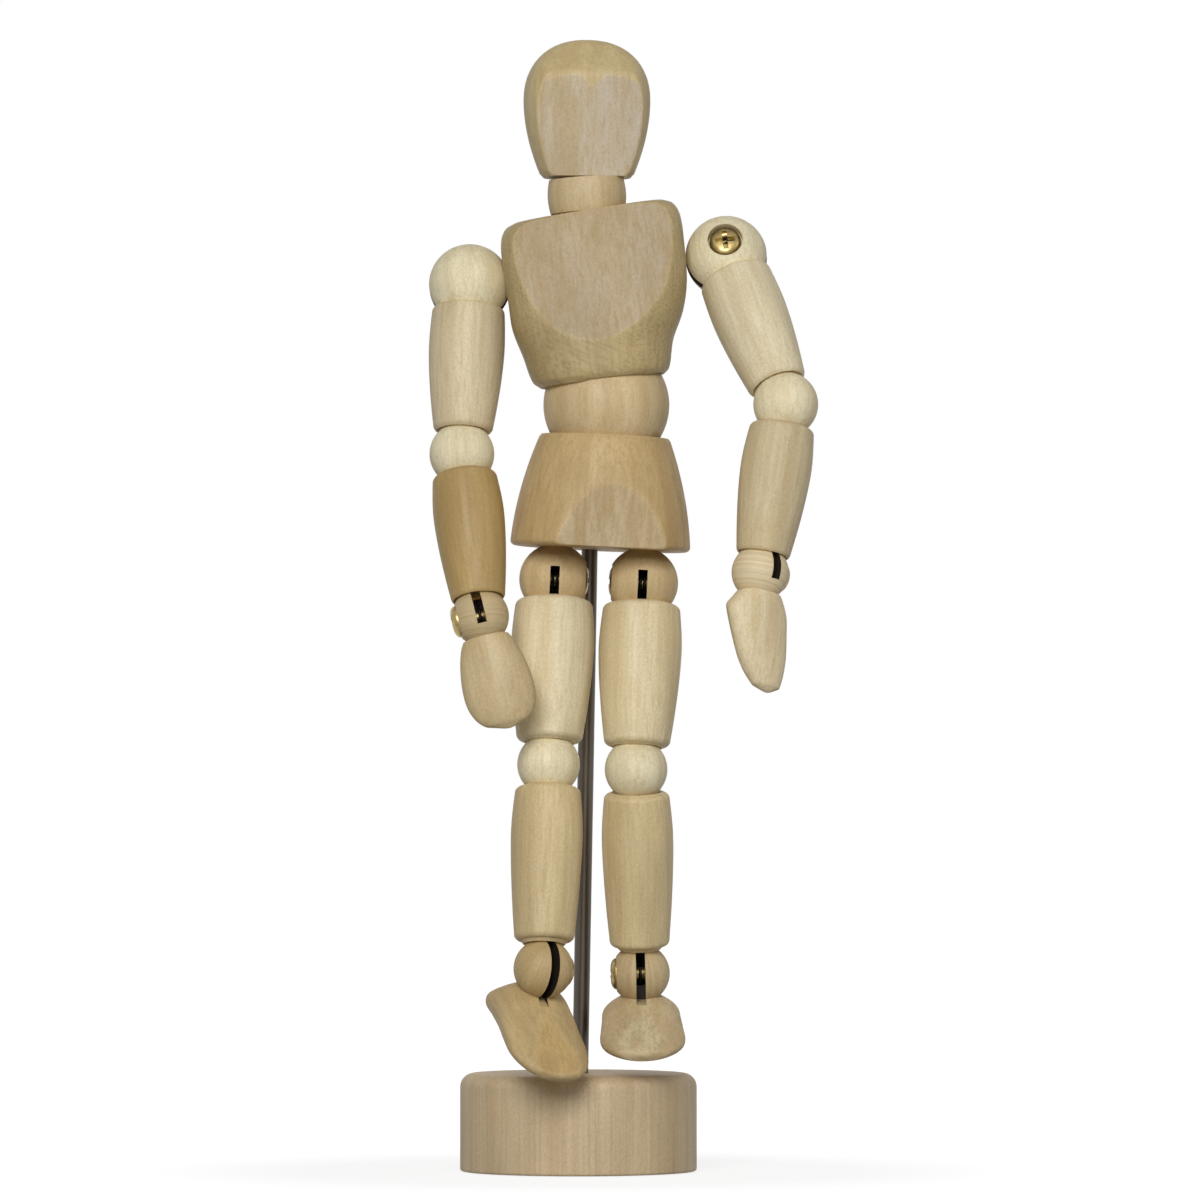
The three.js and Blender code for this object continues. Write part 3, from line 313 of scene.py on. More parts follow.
# A flat on the front of a piece: it faces -Y, leans back by tilt and turns about the upright
def front_flat(depth, height, tilt, turn=0.0):
    normal = Vector((0, -math.cos(tilt), math.sin(tilt)))
    facing = Matrix.Rotation(turn, 3, "Z")
    return facing @ Vector((0, -depth, height)), facing @ normal


def subdivided(profile, step):
    points = [profile[0]]
    for (r0, h0), (r1, h1) in zip(profile, profile[1:]):
        count = max(1, math.ceil(math.hypot(r1 - r0, h1 - h0) / step))
        points += [(r0 + (r1 - r0) * i / count, h0 + (h1 - h0) * i / count) for i in range(1, count + 1)]
    return points


pelvis_height = 13.85
pelvis_top_radius = 8.1
pelvis_foot_radius = 11.1
pelvis_belly = 10.6
pelvis_round = 0.6
pelvis_top_edge = 0.3
pelvis_top_inset = 0.25
pelvis_flat_depth = 8.65
pelvis_flat_tilt = math.radians(-9)
pelvis_flat_turn = math.radians(9)
socket_gap = 0.3
hip_drop = 4.0
hip_spread = 5.4
waist_radius = 7.77
waist_rise = 3.9
hip_radius = 4.4
pelvis_x = -axis_of("right_hip_swing")
pelvis_z = axis_of("left_hip_turn")
hips = {side: place_of(f"{side}_hip_turn") for side in ("right", "left")}
pelvis_seat = seat((hips["right"] + hips["left"]) / 2 + pelvis_z * hip_drop, pelvis_x, pelvis_z)

bell_side = []
for i in range(1, 25):
    share = i / 24
    radius = (1 - share) ** 2 * pelvis_foot_radius + 2 * share * (1 - share) * pelvis_belly
    radius += share ** 2 * pelvis_top_radius
    bell_side.append((radius, pelvis_round + (pelvis_height - pelvis_top_edge - pelvis_round) * share))
waist_cup = waist_radius + socket_gap
cup_mouth = math.sqrt(waist_cup ** 2 - waist_rise ** 2)
cup_angle = math.degrees(math.asin(waist_rise / waist_cup))
pelvis_profile = subdivided([(0, 0), (pelvis_foot_radius - pelvis_round, 0)], 0.3)
pelvis_profile += arc(pelvis_foot_radius - pelvis_round, pelvis_round, pelvis_round, -90, 0, 6)[1:]
pelvis_profile += bell_side
pelvis_profile += [(pelvis_top_radius - pelvis_top_inset, pelvis_height), (cup_mouth + 0.1, pelvis_height)]
pelvis_profile += arc(0, pelvis_height + waist_rise, waist_cup, -cup_angle, -90, 16)
pelvis_points, pelvis_faces = turned_points(pelvis_profile, 160)
pelvis_flat = front_flat(pelvis_flat_depth, 0, pelvis_flat_tilt, pelvis_flat_turn)
pelvis_points, pelvis_bites = planed(pelvis_points, [pelvis_flat])
hip_cup = hip_radius + socket_gap
for index, point in enumerate(pelvis_points):
    for hip_x in (-hip_spread, hip_spread):
        reach = hip_cup ** 2 - (point.x - hip_x) ** 2 - point.y ** 2
        if reach > hip_drop ** 2 and point.z < 2:
            pelvis_points[index] = Vector((point.x, point.y, math.sqrt(reach) - hip_drop))
pelvis = shaped_piece("bell_pelvis", pelvis_points, pelvis_faces, pelvis_seat, pelvis_bites)
pelvis_wood = bare_wood("bare_golden_wood_pelvis", "#B99F70", "#BCA986")
finish_piece(pelvis, pelvis_wood, "pelvis", "pelvis")


# Waist ball and neck
# A plain turned ball and a short turned barrel, drilled through for the spring that pulls pelvis,
# chest and head together. Neither is glued: the spring and the wood's own friction hold them.
wire_bore = 0.78


# The bore is narrowest in the middle and flares to both ends, so that the spring can bend in it
def bored_ball(name, radius, ball_seat, sides=96):
    mouth = wire_bore + radius * 0.3
    mouth_angle = math.degrees(math.asin(math.sqrt(radius ** 2 - mouth ** 2) / radius))
    profile = arc(0, 0, radius, -mouth_angle, mouth_angle, 40) + [(wire_bore, 0)]
    points, faces = turned_points(profile, sides)
    return shaped_piece(name, points, faces, ball_seat)


side_way = Vector((1, 0, 0))
waist_seat = seat(place_of("waist_bend"), side_way, axis_of("chest_turn"))
waist = bored_ball("waist_turned_ball", waist_radius, waist_seat, 128)
waist_wood = bare_wood("bare_tan_wood_waist", "#C3AE86", band_width=2.8)
finish_piece(waist, waist_wood, "waist_ball", "waist_ball")
neck_radius = 4.85
neck_end_radius = 4.58
neck_half_height = 2.1
neck_mouth = 2.4
neck_profile = [(wire_bore, 0), (neck_mouth, -neck_half_height)]
for i in range(21):
    share = i / 10 - 1
    bulge = (neck_radius - neck_end_radius) * (1 - share ** 2)
    neck_profile.append((neck_end_radius + bulge, share * neck_half_height))
neck_profile += [(neck_mouth, neck_half_height)]
neck_points, neck_faces = turned_points(neck_profile, 112)
neck_seat = seat(place_of("neck_nod"), side_way, axis_of("head_turn"))
neck = shaped_piece("neck_barrel", neck_points, neck_faces, neck_seat)
neck_wood = bare_wood("bare_pale_wood_neck", "#BDA981")
finish_piece(neck, neck_wood, "neck", "neck")


# Chest
# The trunk is carved from a block of pinkish-tan wood: narrow at the waist, square at the
# shoulders, planed flat over the breast, and dished at each side for the shoulder balls.
def oval(angle, half_width, half_depth, power):
    c = math.cos(angle)
    s = math.sin(angle)
    x = math.copysign(half_width * abs(c) ** (2 / power), c)
    y = math.copysign(half_depth * abs(s) ** (2 / power), s)
    return x, y


# Values between carved stations, eased so that the loft runs smoothly through each of them
def between(stations, at):
    keys = [station[0] for station in stations]
    for i in range(len(keys) - 1):
        if at <= keys[i + 1] or i == len(keys) - 2:
            break
    span = keys[i + 1] - keys[i]
    t = min(1.0, max(0.0, (at - keys[i]) / span))
    before = stations[max(0, i - 1)]
    after = stations[min(len(stations) - 1, i + 2)]
    values = []
    for column in range(1, len(stations[0])):
        a = stations[i][column]
        b = stations[i + 1][column]
        slope_a = (b - before[column]) / max(1e-6, keys[i + 1] - before[0]) * span
        slope_b = (after[column] - a) / max(1e-6, after[0] - keys[i]) * span
        t2 = t * t
        t3 = t2 * t
        values.append((2 * t3 - 3 * t2 + 1) * a + (t3 - 2 * t2 + t) * slope_a
                      + (3 * t2 - 2 * t3) * b + (t3 - t2) * slope_b)
    return values


chest_rise = 2.9
chest_height = 21.0
chest_top_slope = 0.05
chest_foot_shift = -0.7
chest_sideways = 0.45
chest_half_width = 11.3
chest_half_depth = 8.6
chest_foot = 7.95
chest_peak = 7.6
breast_depth = 7.7
breast_lean = math.radians(11)
neck_above_chest = 2.05
shoulder_radius = 5.05
chest_seat = seat(place_of("chest_turn"), axis_of("neck_nod"), axis_of("neck_nod").cross(Vector((0, 1, 0))))
# Height, half width, half depth, squareness and shift to the side
chest_stations = [
    (0, chest_foot - 0.4, chest_foot - 0.6, 2.2, chest_foot_shift),
    (0.8, chest_foot + 0.5, chest_foot, 2.2, chest_foot_shift),
    (4.2, chest_foot + 1.4, chest_half_depth - 0.4, 2.3, chest_foot_shift),
    (chest_peak, chest_half_width - 0.7, chest_half_depth, 2.6, chest_foot_shift / 2),
    (11, chest_half_width - 0.2, chest_half_depth, 3, 0),
    (15.8, chest_half_width, chest_half_depth - 0.6, 3.4, 0),
    (chest_height - 2, chest_half_width - 0.15, chest_half_depth - 1.2, 3.2, 0),
    (chest_height - 0.5, chest_half_width - 0.9, chest_half_depth - 2.2, 3, 0),
    (chest_height, chest_half_width - 2, chest_half_depth - 3.4, 2.8, 0),
]


# A loft of oval rings from the first station to the last; both ends close in to a point on a dome
# as high as the last argument
def lofted(stations, sides, rows, place, end_rows=10, dome=0.0):
    start, stop = stations[0][0], stations[-1][0]
    closing = [(i + 0.02) / end_rows for i in range(end_rows)]
    rings = [(start + dome * share ** 2, share) for share in closing]
    for i in range(rows + 1):
        rings.append((start + dome + (stop - start - 2 * dome) * i / rows, 1.0))
    rings += [(stop - dome * share ** 2, share) for share in reversed(closing)]
    points = []
    faces = []
    for at, share in rings:
        half_width, half_depth, power, *rest = between(stations, at)
        for j in range(sides):
            x, y = oval(2 * math.pi * j / sides, half_width * share, half_depth * share, power)
            points.append(place(x, y, at, rest))
    for i in range(len(rings) - 1):
        for j in range(sides):
            k = (j + 1) % sides
            faces.append((i * sides + j, i * sides + k, (i + 1) * sides + k, (i + 1) * sides + j))
    last = (len(rings) - 1) * sides
    faces.append(tuple(reversed(range(sides))))
    faces.append(tuple(range(last, last + sides)))
    return points, faces


def chest_place(x, y, height, rest):
    slope = chest_top_slope * (height / chest_height) ** 2
    return Vector((x + chest_sideways + rest[0], y, height + chest_rise + x * slope))


chest_points, chest_faces = lofted(chest_stations, 176, 110, chest_place, 24)
breast_flat = front_flat(breast_depth, chest_rise + chest_peak, breast_lean)
chest_points, chest_bites = planed(chest_points, [breast_flat])
shoulders = {side: chest_seat.inverted() @ place_of(f"{side}_shoulder_turn") for side in ("right", "left")}
neck_rise = chest_rise + chest_height + neck_above_chest
chest_cups = [
    (Vector((0, 0, 0)), waist_radius + socket_gap, 1),
    (Vector((chest_sideways, 0, neck_rise)), neck_radius + socket_gap, -1),
]
for index, point in enumerate(chest_points):
    for side, out in (("right", -1), ("left", 1)):
        dish = point - shoulders[side]
        reach = (shoulder_radius + socket_gap) ** 2 - dish.y ** 2 - dish.z ** 2
        if reach > 0 and point.x * out > 4:
            floor_x = shoulders[side].x - out * math.sqrt(reach)
            if point.x * out > floor_x * out:
                chest_points[index] = Vector((floor_x, point.y, point.z))
                point = chest_points[index]
    for cup_centre, cup, way in chest_cups:
        sunk = point - cup_centre
        if sunk.length < cup:
            depth = math.sqrt(cup ** 2 - sunk.x ** 2 - sunk.y ** 2)
            chest_points[index] = Vector((point.x, point.y, cup_centre.z + way * depth))
            point = chest_points[index]
chest = shaped_piece("carved_chest", chest_points, chest_faces, chest_seat, chest_bites)
chest_wood = bare_wood("bare_olive_wood_chest", "#B19E72", "#AF9C80", band_width=3.2, saw_marks=0.4)
finish_piece(chest, chest_wood, "chest", "chest")


# Head
# A turned egg with no features: one flat is sanded for the face and a second, narrower one bevels
# the forehead. It sits on the neck ball and a cross pin inside it holds the end of the spring.
head_height = 17.1
head_radius = 7.83
head_foot = 5.75
head_widest = 9.5
head_rise = 2.25
head_foot_edge = 0.35
head_foot_rise = 0.25
jaw_fullness = 1.9
crown_fullness = 2.2
head_profile = subdivided([(0, 0), (head_foot - head_foot_edge, 0)], 0.3)
for i in range(1, 41):
    share = i / 40
    fall = (head_radius - head_foot) * (1 - share) ** jaw_fullness
    head_profile.append((head_radius - fall, head_foot_rise + share * (head_widest - head_foot_rise)))
for i in range(1, 49):
    share = math.sin(math.radians(90 * i / 48))
    radius = head_radius * max(0.0, 1 - share ** crown_fullness) ** (1 / crown_fullness)
    head_profile.append((radius, head_widest + share * (head_height - head_widest)))
head_points, head_faces = turned_points(head_profile, 176)
face_turn = math.radians(5.5)
face_lean = math.radians(9)
face_depth = 4.5
forehead_height = 12.6
forehead_lean = math.radians(42)
face_flat = front_flat(face_depth, head_widest, -face_lean, face_turn)
forehead_depth = face_depth + (forehead_height - head_widest) * math.tan(face_lean)
forehead_flat = front_flat(forehead_depth, forehead_height, forehead_lean, face_turn)
head_points, face_bites = planed(head_points, [face_flat])
head_points, forehead_bites = planed(head_points, [forehead_flat], softness=0.4)
brow_height = 12.5
brow_curve = 0.03
brow_softness = 0.3
dip_depth = 1.8
dip_slope = 1.1
dip_middle = 0.4
# The planed skin stops at a brow line that dips in the middle
head_bites = []
for point, face, forehead in zip(head_points, face_bites, forehead_bites):
    across = point.x * math.cos(face_turn) + point.y * math.sin(face_turn)
    dip = max(0.0, dip_depth - dip_slope * abs(across - dip_middle))
    above = point.z - (brow_height - brow_curve * across ** 2 - dip)
    head_bites.append(face * (1 - forehead) * min(1.0, max(0.0, 0.5 - above / brow_softness)))
head_seat = Matrix.Translation(place_of("neck_nod") + Vector((0, 0, head_rise)))
head = shaped_piece("egg_head", head_points, head_faces, head_seat, head_bites)
head_wood = bare_wood("bare_pale_wood_head", "#BFAC80", "#BCAE99")
finish_piece(head, head_wood, "head", "head")


# Shoulder, hip, elbow and knee balls
# Balls turned from the palest wood. Shoulder and hip balls are sawn with a slot for the spring
# eyes and cross-drilled for a screw, sunk in a counterbore; elbow and knee balls are only bored.
hip_wood = bare_wood("bare_tan_wood_hips", "#C2AB80")
ball_wood = bare_wood("bare_cream_wood_balls", "#DFD4B2")
slot_width = 1.15
screw_radius = 0.8
screw_head_radius = 1.95
counterbore_share = 0.64
drill_share = 0.75
shank_room = 0.2
head_room = 0.22
slot_back_wall = 1.3
eye_reach = 1.52


def box_cutter(name, lengths, centre, cutter_seat):
    half = [length / 2 for length in lengths]
    signs = [(x, y, z) for x in (-1, 1) for y in (-1, 1) for z in (-1, 1)]
    corners = [Vector([sign * size for sign, size in zip(corner, half)]) for corner in signs]
    faces = [(0, 1, 3, 2), (4, 6, 7, 5), (0, 4, 5, 1), (2, 3, 7, 6), (0, 2, 6, 4), (1, 5, 7, 3)]
    return shaped_piece(name, [corner + centre for corner in corners], faces, cutter_seat)


def round_cutter(name, radius, low, high, cutter_seat):
    points, faces = turned_points([(0, low), (radius, low), (radius, high), (0, high)], 40)
    return shaped_piece(name, points, faces, cutter_seat)


# Cuts and joins are made once and baked, so the piece is a plain mesh with no modifier left on it
def worked(piece, others, operation):
    for other in others:
        work = piece.modifiers.new("work", "BOOLEAN")
        work.operation = operation
        work.solver = "EXACT"
        work.object = other
    bpy.context.view_layer.update()
    evaluated = piece.evaluated_get(bpy.context.evaluated_depsgraph_get())
    mesh = bpy.data.meshes.new_from_object(evaluated)
    piece.modifiers.clear()
    piece.data = mesh
    for other in others:
        bpy.data.objects.remove(other)


def cut_away(piece, cutters):
    worked(piece, cutters, "DIFFERENCE")
    outward(piece.data, 32)


def screw_cutters(radius, ball_seat, facing):
    drill = ball_seat @ Matrix.Rotation(math.radians(90 * facing), 4, "Y")
    counterbore_floor = radius * counterbore_share
    return [
        round_cutter("shank_drill", screw_radius + shank_room, -radius * drill_share, radius, drill),
        round_cutter("counterbore", screw_head_radius + head_room, counterbore_floor, radius + 1, drill),
    ]


# A saw slot square to X: it opens to -Y (1) or +Y (-1) and leaves a wall behind, or goes through (0)
def slot_cutter(radius, low, high, opening, ball_seat):
    middle = Vector((0, -opening * (slot_back_wall + 1), (low + high) / 2))
    return box_cutter("slot", (slot_width, 2 * (radius + 1), high - low), middle, ball_seat)


# Painted shade in the slot: its faces are marked to be coloured near black; the walls are the faces across
# X, the rest lies inside the ball
def shade_slot_walls(piece, radius, ball_seat):
    inside = ball_seat.inverted()
    across = (ball_seat.to_3x3() @ Vector((1, 0, 0))).normalized()
    marks = piece.data.attributes.new("painted_slot_shade", "FLOAT", "FACE")
    for face, mark in zip(piece.data.polygons, marks.data):
        centre = inside @ (face.center / MM)
        in_slot = abs(centre.x) < slot_width / 2 + 0.02
        is_wall = abs(face.normal.dot(across)) > 0.95 or centre.length < radius - 0.2
        mark.value = 1.0 if in_slot and is_wall else 0.0


def sawn_ball(name, radius, ball_seat, opening, facing):
    points, faces = turned_points(arc(0, 0, radius, -90, 90, 48), 96)
    piece = shaped_piece(name, points, faces, ball_seat)
    slot = slot_cutter(radius, -radius - 1, eye_reach, opening, ball_seat)
    cut_away(piece, [slot, *screw_cutters(radius, ball_seat, facing)])
    shade_slot_walls(piece, radius, ball_seat)
    return piece


def bisector_seat(above, here, below, x_way):
    return seat(here, x_way, (above - here).normalized() + (here - below).normalized())


elbow_radius = 3.98
knee_radius = 3.85
ball_seats = {}
for side, out in (("right", -1), ("left", 1)):
    arm_x = -axis_of(f"{side}_shoulder_turn")
    shoulder_facing = axis_of(f"{side}_shoulder_raise")
    shoulder_at = place_of(f"{side}_shoulder_turn")
    shoulder_seat = seat(shoulder_at, shoulder_facing, arm_x.cross(shoulder_facing) * -out)
    ball_seats[f"{side}_shoulder"] = shoulder_seat
    shoulder = sawn_ball(f"{side}_shoulder_turned_ball", shoulder_radius, shoulder_seat, 0, 1)
    finish_piece(shoulder, ball_wood, f"{side}_shoulder_ball", f"{side}_shoulder_ball")

    hip_seat = seat(hips[side], pelvis_x, pelvis_z)
    ball_seats[f"{side}_hip"] = hip_seat
    hip = sawn_ball(f"{side}_hip_turned_ball", hip_radius, hip_seat, 1, -out)
    finish_piece(hip, hip_wood, f"{side}_hip_ball", f"{side}_hip_ball")

    elbow_at = place_of(f"{side}_elbow_bend")
    wrist_at = place_of(f"{side}_wrist_bend")
    elbow_seat = bisector_seat(shoulder_at, elbow_at, wrist_at, side_way)
    elbow = bored_ball(f"{side}_elbow_turned_ball", elbow_radius, elbow_seat)
    finish_piece(elbow, ball_wood, f"{side}_elbow_ball", f"{side}_elbow_ball")

    knee_at = place_of(f"{side}_knee_bend")
    ankle_at = place_of(f"{side}_ankle_bend")
    knee_seat = bisector_seat(hips[side], knee_at, ankle_at, side_way)
    knee = bored_ball(f"{side}_knee_turned_ball", knee_radius, knee_seat)
    finish_piece(knee, ball_wood, f"{side}_knee_ball", f"{side}_knee_ball")


# Upper arms, forearms, thighs and calves
# Barrels turned between centres from straight-grained pale wood, fullest near the top, with eased
# ends. Each end is cupped for its ball, and the coil spring runs in a bore down the middle.
limb_round = 0.8
belly_share = 0.3
wrist_radius = 3.5
ankle_radius = 3.65


# The outside runs up from the foot to the top with eased ends, and a cup for the ball takes the
# inner part of each end away, so the wall ends in a thin rim where the cup meets the round
def barrel_profile(length, top, foot, top_radius, belly, foot_radius, upper_ball, lower_ball):
    upper_cup = upper_ball + socket_gap
    lower_cup = lower_ball + socket_gap
    low = -length + foot
    high = -top
    outside = arc(foot_radius - limb_round, low + limb_round, limb_round, -90, 0, 12)
    for i in range(1, 40):
        share = 1 - i / 40
        rise = min(1.0, share / belly_share)
        fall = max(0.0, (share - belly_share) / (1 - belly_share))
        swell = (belly - top_radius) * math.sin(rise * math.pi / 2)
        radius = top_radius + swell - (belly - foot_radius) * fall ** 1.6
        outside.append((radius, high - limb_round - share * (high - low - 2 * limb_round)))
    outside += arc(top_radius - limb_round, high - limb_round, limb_round, 0, 90, 12)
    wall = []
    for radius, height in outside:
        if math.hypot(radius, height + length) > lower_cup and math.hypot(radius, height) > upper_cup:
            wall.append((radius, height))
    lower_rim = math.degrees(math.atan2(wall[0][1] + length, wall[0][0]))
    upper_rim = math.degrees(math.atan2(wall[-1][1], wall[-1][0]))
    lower_bore = 90 - math.degrees(math.asin(wire_bore / lower_cup))
    upper_bore = -90 + math.degrees(math.asin(wire_bore / upper_cup))
    lower_cup_side = arc(0, -length, lower_cup, lower_bore, lower_rim, 12)
    upper_cup_side = arc(0, 0, upper_cup, upper_rim, upper_bore, 12)
    return lower_cup_side + wall + upper_cup_side + lower_cup_side[:1]


# A new node group with its named inputs and the one piece of geometry that it gives
def new_group(name, sockets, result):
    group = bpy.data.node_groups.new(name, "GeometryNodeTree")
    for socket, kind in sockets.items():
        group.interface.new_socket(socket, in_out="INPUT", socket_type="NodeSocket" + kind)
    group.interface.new_socket(result, in_out="OUTPUT", socket_type="NodeSocketGeometry")
    return group, add(group, "NodeGroupInput").outputs


# A lathe as a node group: it sweeps a profile drawn in the XZ plane about Z, and stores the place
# of each point in the blank as the grain of the wood
def lathe_group():
    sockets = {"Profile": "Geometry", "Sides": "Int", "Blank": "Vector", "Material": "Material"}
    group, given = new_group("lathe", sockets, "Turned")
    points = add(group, "GeometryNodeAttributeDomainSize", {"Geometry": given["Profile"]}, component="CURVE")
    rows = points.outputs["Point Count"]
    columns = add(group, "ShaderNodeMath", {0: given["Sides"], 1: 1.0}).outputs[0]
    net = {"Size X": 1.0, "Size Y": 1.0, "Vertices X": columns, "Vertices Y": rows}
    grid = add(group, "GeometryNodeMeshGrid", net).outputs["Mesh"]
    place = add(group, "GeometryNodeInputPosition").outputs[0]
    across = add(group, "ShaderNodeSeparateXYZ", {0: place}).outputs
    last_row = add(group, "ShaderNodeMath", {0: rows, 1: 0.5}, operation="SUBTRACT").outputs[0]
    span = {"Value": across["Y"], "From Min": -0.5, "From Max": 0.5, "To Min": 0.5, "To Max": last_row}
    row = add(group, "ShaderNodeMapRange", span).outputs[0]
    span = {"Value": across["X"], "From Min": -0.5, "From Max": 0.5, "To Max": 2 * math.pi}
    angle = add(group, "ShaderNodeMapRange", span).outputs[0]
    tool = {"Geometry": given["Profile"], "Value": place, "Index": row}
    cut_at = add(group, "GeometryNodeSampleIndex", tool, data_type="FLOAT_VECTOR").outputs[0]
    turning = {"Vector": cut_at, "Angle": angle}
    swept = add(group, "ShaderNodeVectorRotate", turning, rotation_type="Z_AXIS").outputs[0]
    shaped = add(group, "GeometryNodeSetPosition", {"Geometry": grid, "Position": swept}).outputs[0]
    closed = add(group, "GeometryNodeMergeByDistance", {"Geometry": shaped, "Distance": 0.0005}).outputs[0]
    in_blank = add(group, "ShaderNodeVectorMath", {0: place, 1: given["Blank"]}).outputs[0]
    stored = {"Geometry": closed, "Name": "grain", "Value": in_blank}
    grained = add(group, "GeometryNodeStoreNamedAttribute", stored, data_type="FLOAT_VECTOR").outputs[0]
    whole = add(group, "GeometryNodeRealizeInstances", {"Geometry": grained}).outputs[0]
    finished = {"Geometry": whole, "Material": given["Material"]}
    add(group, "NodeGroupOutput", {0: add(group, "GeometryNodeSetMaterial", finished).outputs[0]})
    return group


# Runs a node group along a line of points and bakes what it makes to a plain mesh
def baked(name, line, group, settings):
    path = bpy.data.curves.new(name + "_line", "CURVE")
    path.dimensions = "3D"
    spline = path.splines.new("POLY")
    spline.points.add(len(line) - 1)
    for point, place in zip(spline.points, line):
        point.co = (*place, 1)
    guide = bpy.data.objects.new(name + "_line", path)
    bpy.context.scene.collection.objects.link(guide)
    work = guide.modifiers.new(group.name, "NODES")
    work.node_group = group
    for item in group.interface.items_tree:
        if item.name in settings:
            work[item.identifier] = settings[item.name]
    bpy.context.view_layer.update()
    evaluated = guide.evaluated_get(bpy.context.evaluated_depsgraph_get())
    mesh = bpy.data.meshes.new_from_object(evaluated)
    mesh.name = name
    bpy.data.objects.remove(guide)
    piece = bpy.data.objects.new(name, mesh)
    bpy.context.scene.collection.objects.link(piece)
    return piece


lathe = lathe_group()


def barrel(name, upper, lower, sizes, wood):
    profile = barrel_profile((upper - lower).length, **sizes)
    settings = {"Sides": 112, "Blank": next_blank(), "Material": wood}
    piece = baked(name, [(radius, 0, height) for radius, height in profile], lathe, settings)
    piece.data.transform(Matrix.Scale(MM, 4) @ seat(upper, side_way, upper - lower))
    outward(piece.data)
    return piece


# The joints that each barrel runs between, and its sizes; top and foot are measured from the balls
elbow_cup_ball = 4.0
limbs = {
    "upper_arm": ("shoulder_turn", "elbow_bend", dict(
        top=3.0, foot=2.8, top_radius=4.5, belly=4.68, foot_radius=3.7,
        upper_ball=shoulder_radius, lower_ball=elbow_cup_ball)),
    "forearm": ("elbow_bend", "wrist_bend", dict(
        top=2.8, foot=2.0, top_radius=4.0, belly=4.35, foot_radius=3.35,
        upper_ball=elbow_cup_ball, lower_ball=wrist_radius)),
    "thigh": ("hip_turn", "knee_bend", dict(
        top=2.8, foot=2.9, top_radius=4.8, belly=5.12, foot_radius=4.1,
        upper_ball=hip_radius, lower_ball=knee_radius)),
    "calf": ("knee_bend", "ankle_bend", dict(
        top=2.9, foot=3.4, top_radius=4.05, belly=4.4, foot_radius=3.7,
        upper_ball=knee_radius, lower_ball=ankle_radius)),
}
barrel_wood = {
    "right_upper_arm": bare_wood("bare_straw_wood_right_upper_arm", "#CABA98"),
    "left_upper_arm": bare_wood("bare_cream_wood_left_upper_arm", "#DACDAC"),
    "right_forearm": bare_wood("bare_golden_wood_right_forearm", "#AB905B"),
    "left_forearm": bare_wood("bare_straw_wood_left_forearm", "#C7B691"),
    "right_thigh": bare_wood("bare_cream_wood_right_thigh", "#D7CAA7"),
    "left_thigh": bare_wood("bare_cream_wood_left_thigh", "#D9C9A2"),
    "right_calf": bare_wood("bare_yellow_wood_right_calf", "#CBB78B"),
    "left_calf": bare_wood("bare_yellow_wood_left_calf", "#CBB88D"),
}
for side in ("right", "left"):
    for limb, (upper, lower, sizes) in limbs.items():
        node = f"{side}_{limb}"
        ends = place_of(f"{side}_{upper}"), place_of(f"{side}_{lower}")
        piece = barrel(f"{node}_barrel", *ends, sizes, barrel_wood[node])
        slot = "golden_wood" if limb == "forearm" else "pale_wood"
        finish_piece(piece, barrel_wood[node], node, node)


# Hands
# Carved mittens in one piece with their wrist balls. The ball is sawn and cross-drilled like the
# hips, and the screw through it holds the lower eye of the arm's spring.
def turned_about(x, y, z):
    turn = Matrix.Rotation(math.radians(x), 4, "X") @ Matrix.Rotation(math.radians(y), 4, "Y")
    return turn @ Matrix.Rotation(math.radians(z), 4, "Z")


hand_length = 14.4
hand_half_width = 4.1
hand_half_thickness = 2.3
# Share of the length, half width, half thickness, squareness and shift to the side; the left hand
# tapers to a point and has a bevel along its inner edge
hand_stations = {
    "right": [
        (0.15, 0.6, 0.86, 2.3, 0),
        (0.27, 0.82, 0.98, 2.3, 0),
        (0.44, 0.98, 1, 2.3, -0.02),
        (0.62, 1.06, 0.92, 2.3, -0.06),
        (0.78, 1.02, 0.74, 2.3, -0.1),
        (0.91, 0.8, 0.5, 2.3, -0.16),
        (1, 0.38, 0.22, 2.3, -0.22),
    ],
    "left": [
        (0.15, 0.6, 0.86, 2.2, 0),
        (0.25, 0.84, 0.96, 2.2, -0.2),
        (0.36, 1.05, 1, 2.2, -0.45),
        (0.52, 1, 0.97, 2.2, -0.1),
        (0.72, 0.86, 0.84, 2.2, 0.55),
        (0.88, 0.68, 0.64, 2.2, 1.05),
        (0.99, 0.47, 0.43, 2.1, 1.5),
        (1.04, 0.3, 0.28, 2, 1.7),
    ],
}
hand_bevels = {
    "right": [],
    "left": [(Vector((-3.28, 2.29, -5.2)), Vector((-0.793, 0.555, -0.25)))],
}
hand_pose = {"right": (6, -7, 180), "left": (-6, -6, 35)}
hand_wood = {
    "right": bare_wood("bare_tan_wood_right_hand", "#BEAA81"),
    "left": bare_wood("bare_straw_wood_left_hand", "#D7C6A2"),
}


def hand_place(x, y, at, rest):
    return Vector((x * hand_half_width + rest[0], y * hand_half_thickness, -at * hand_length))


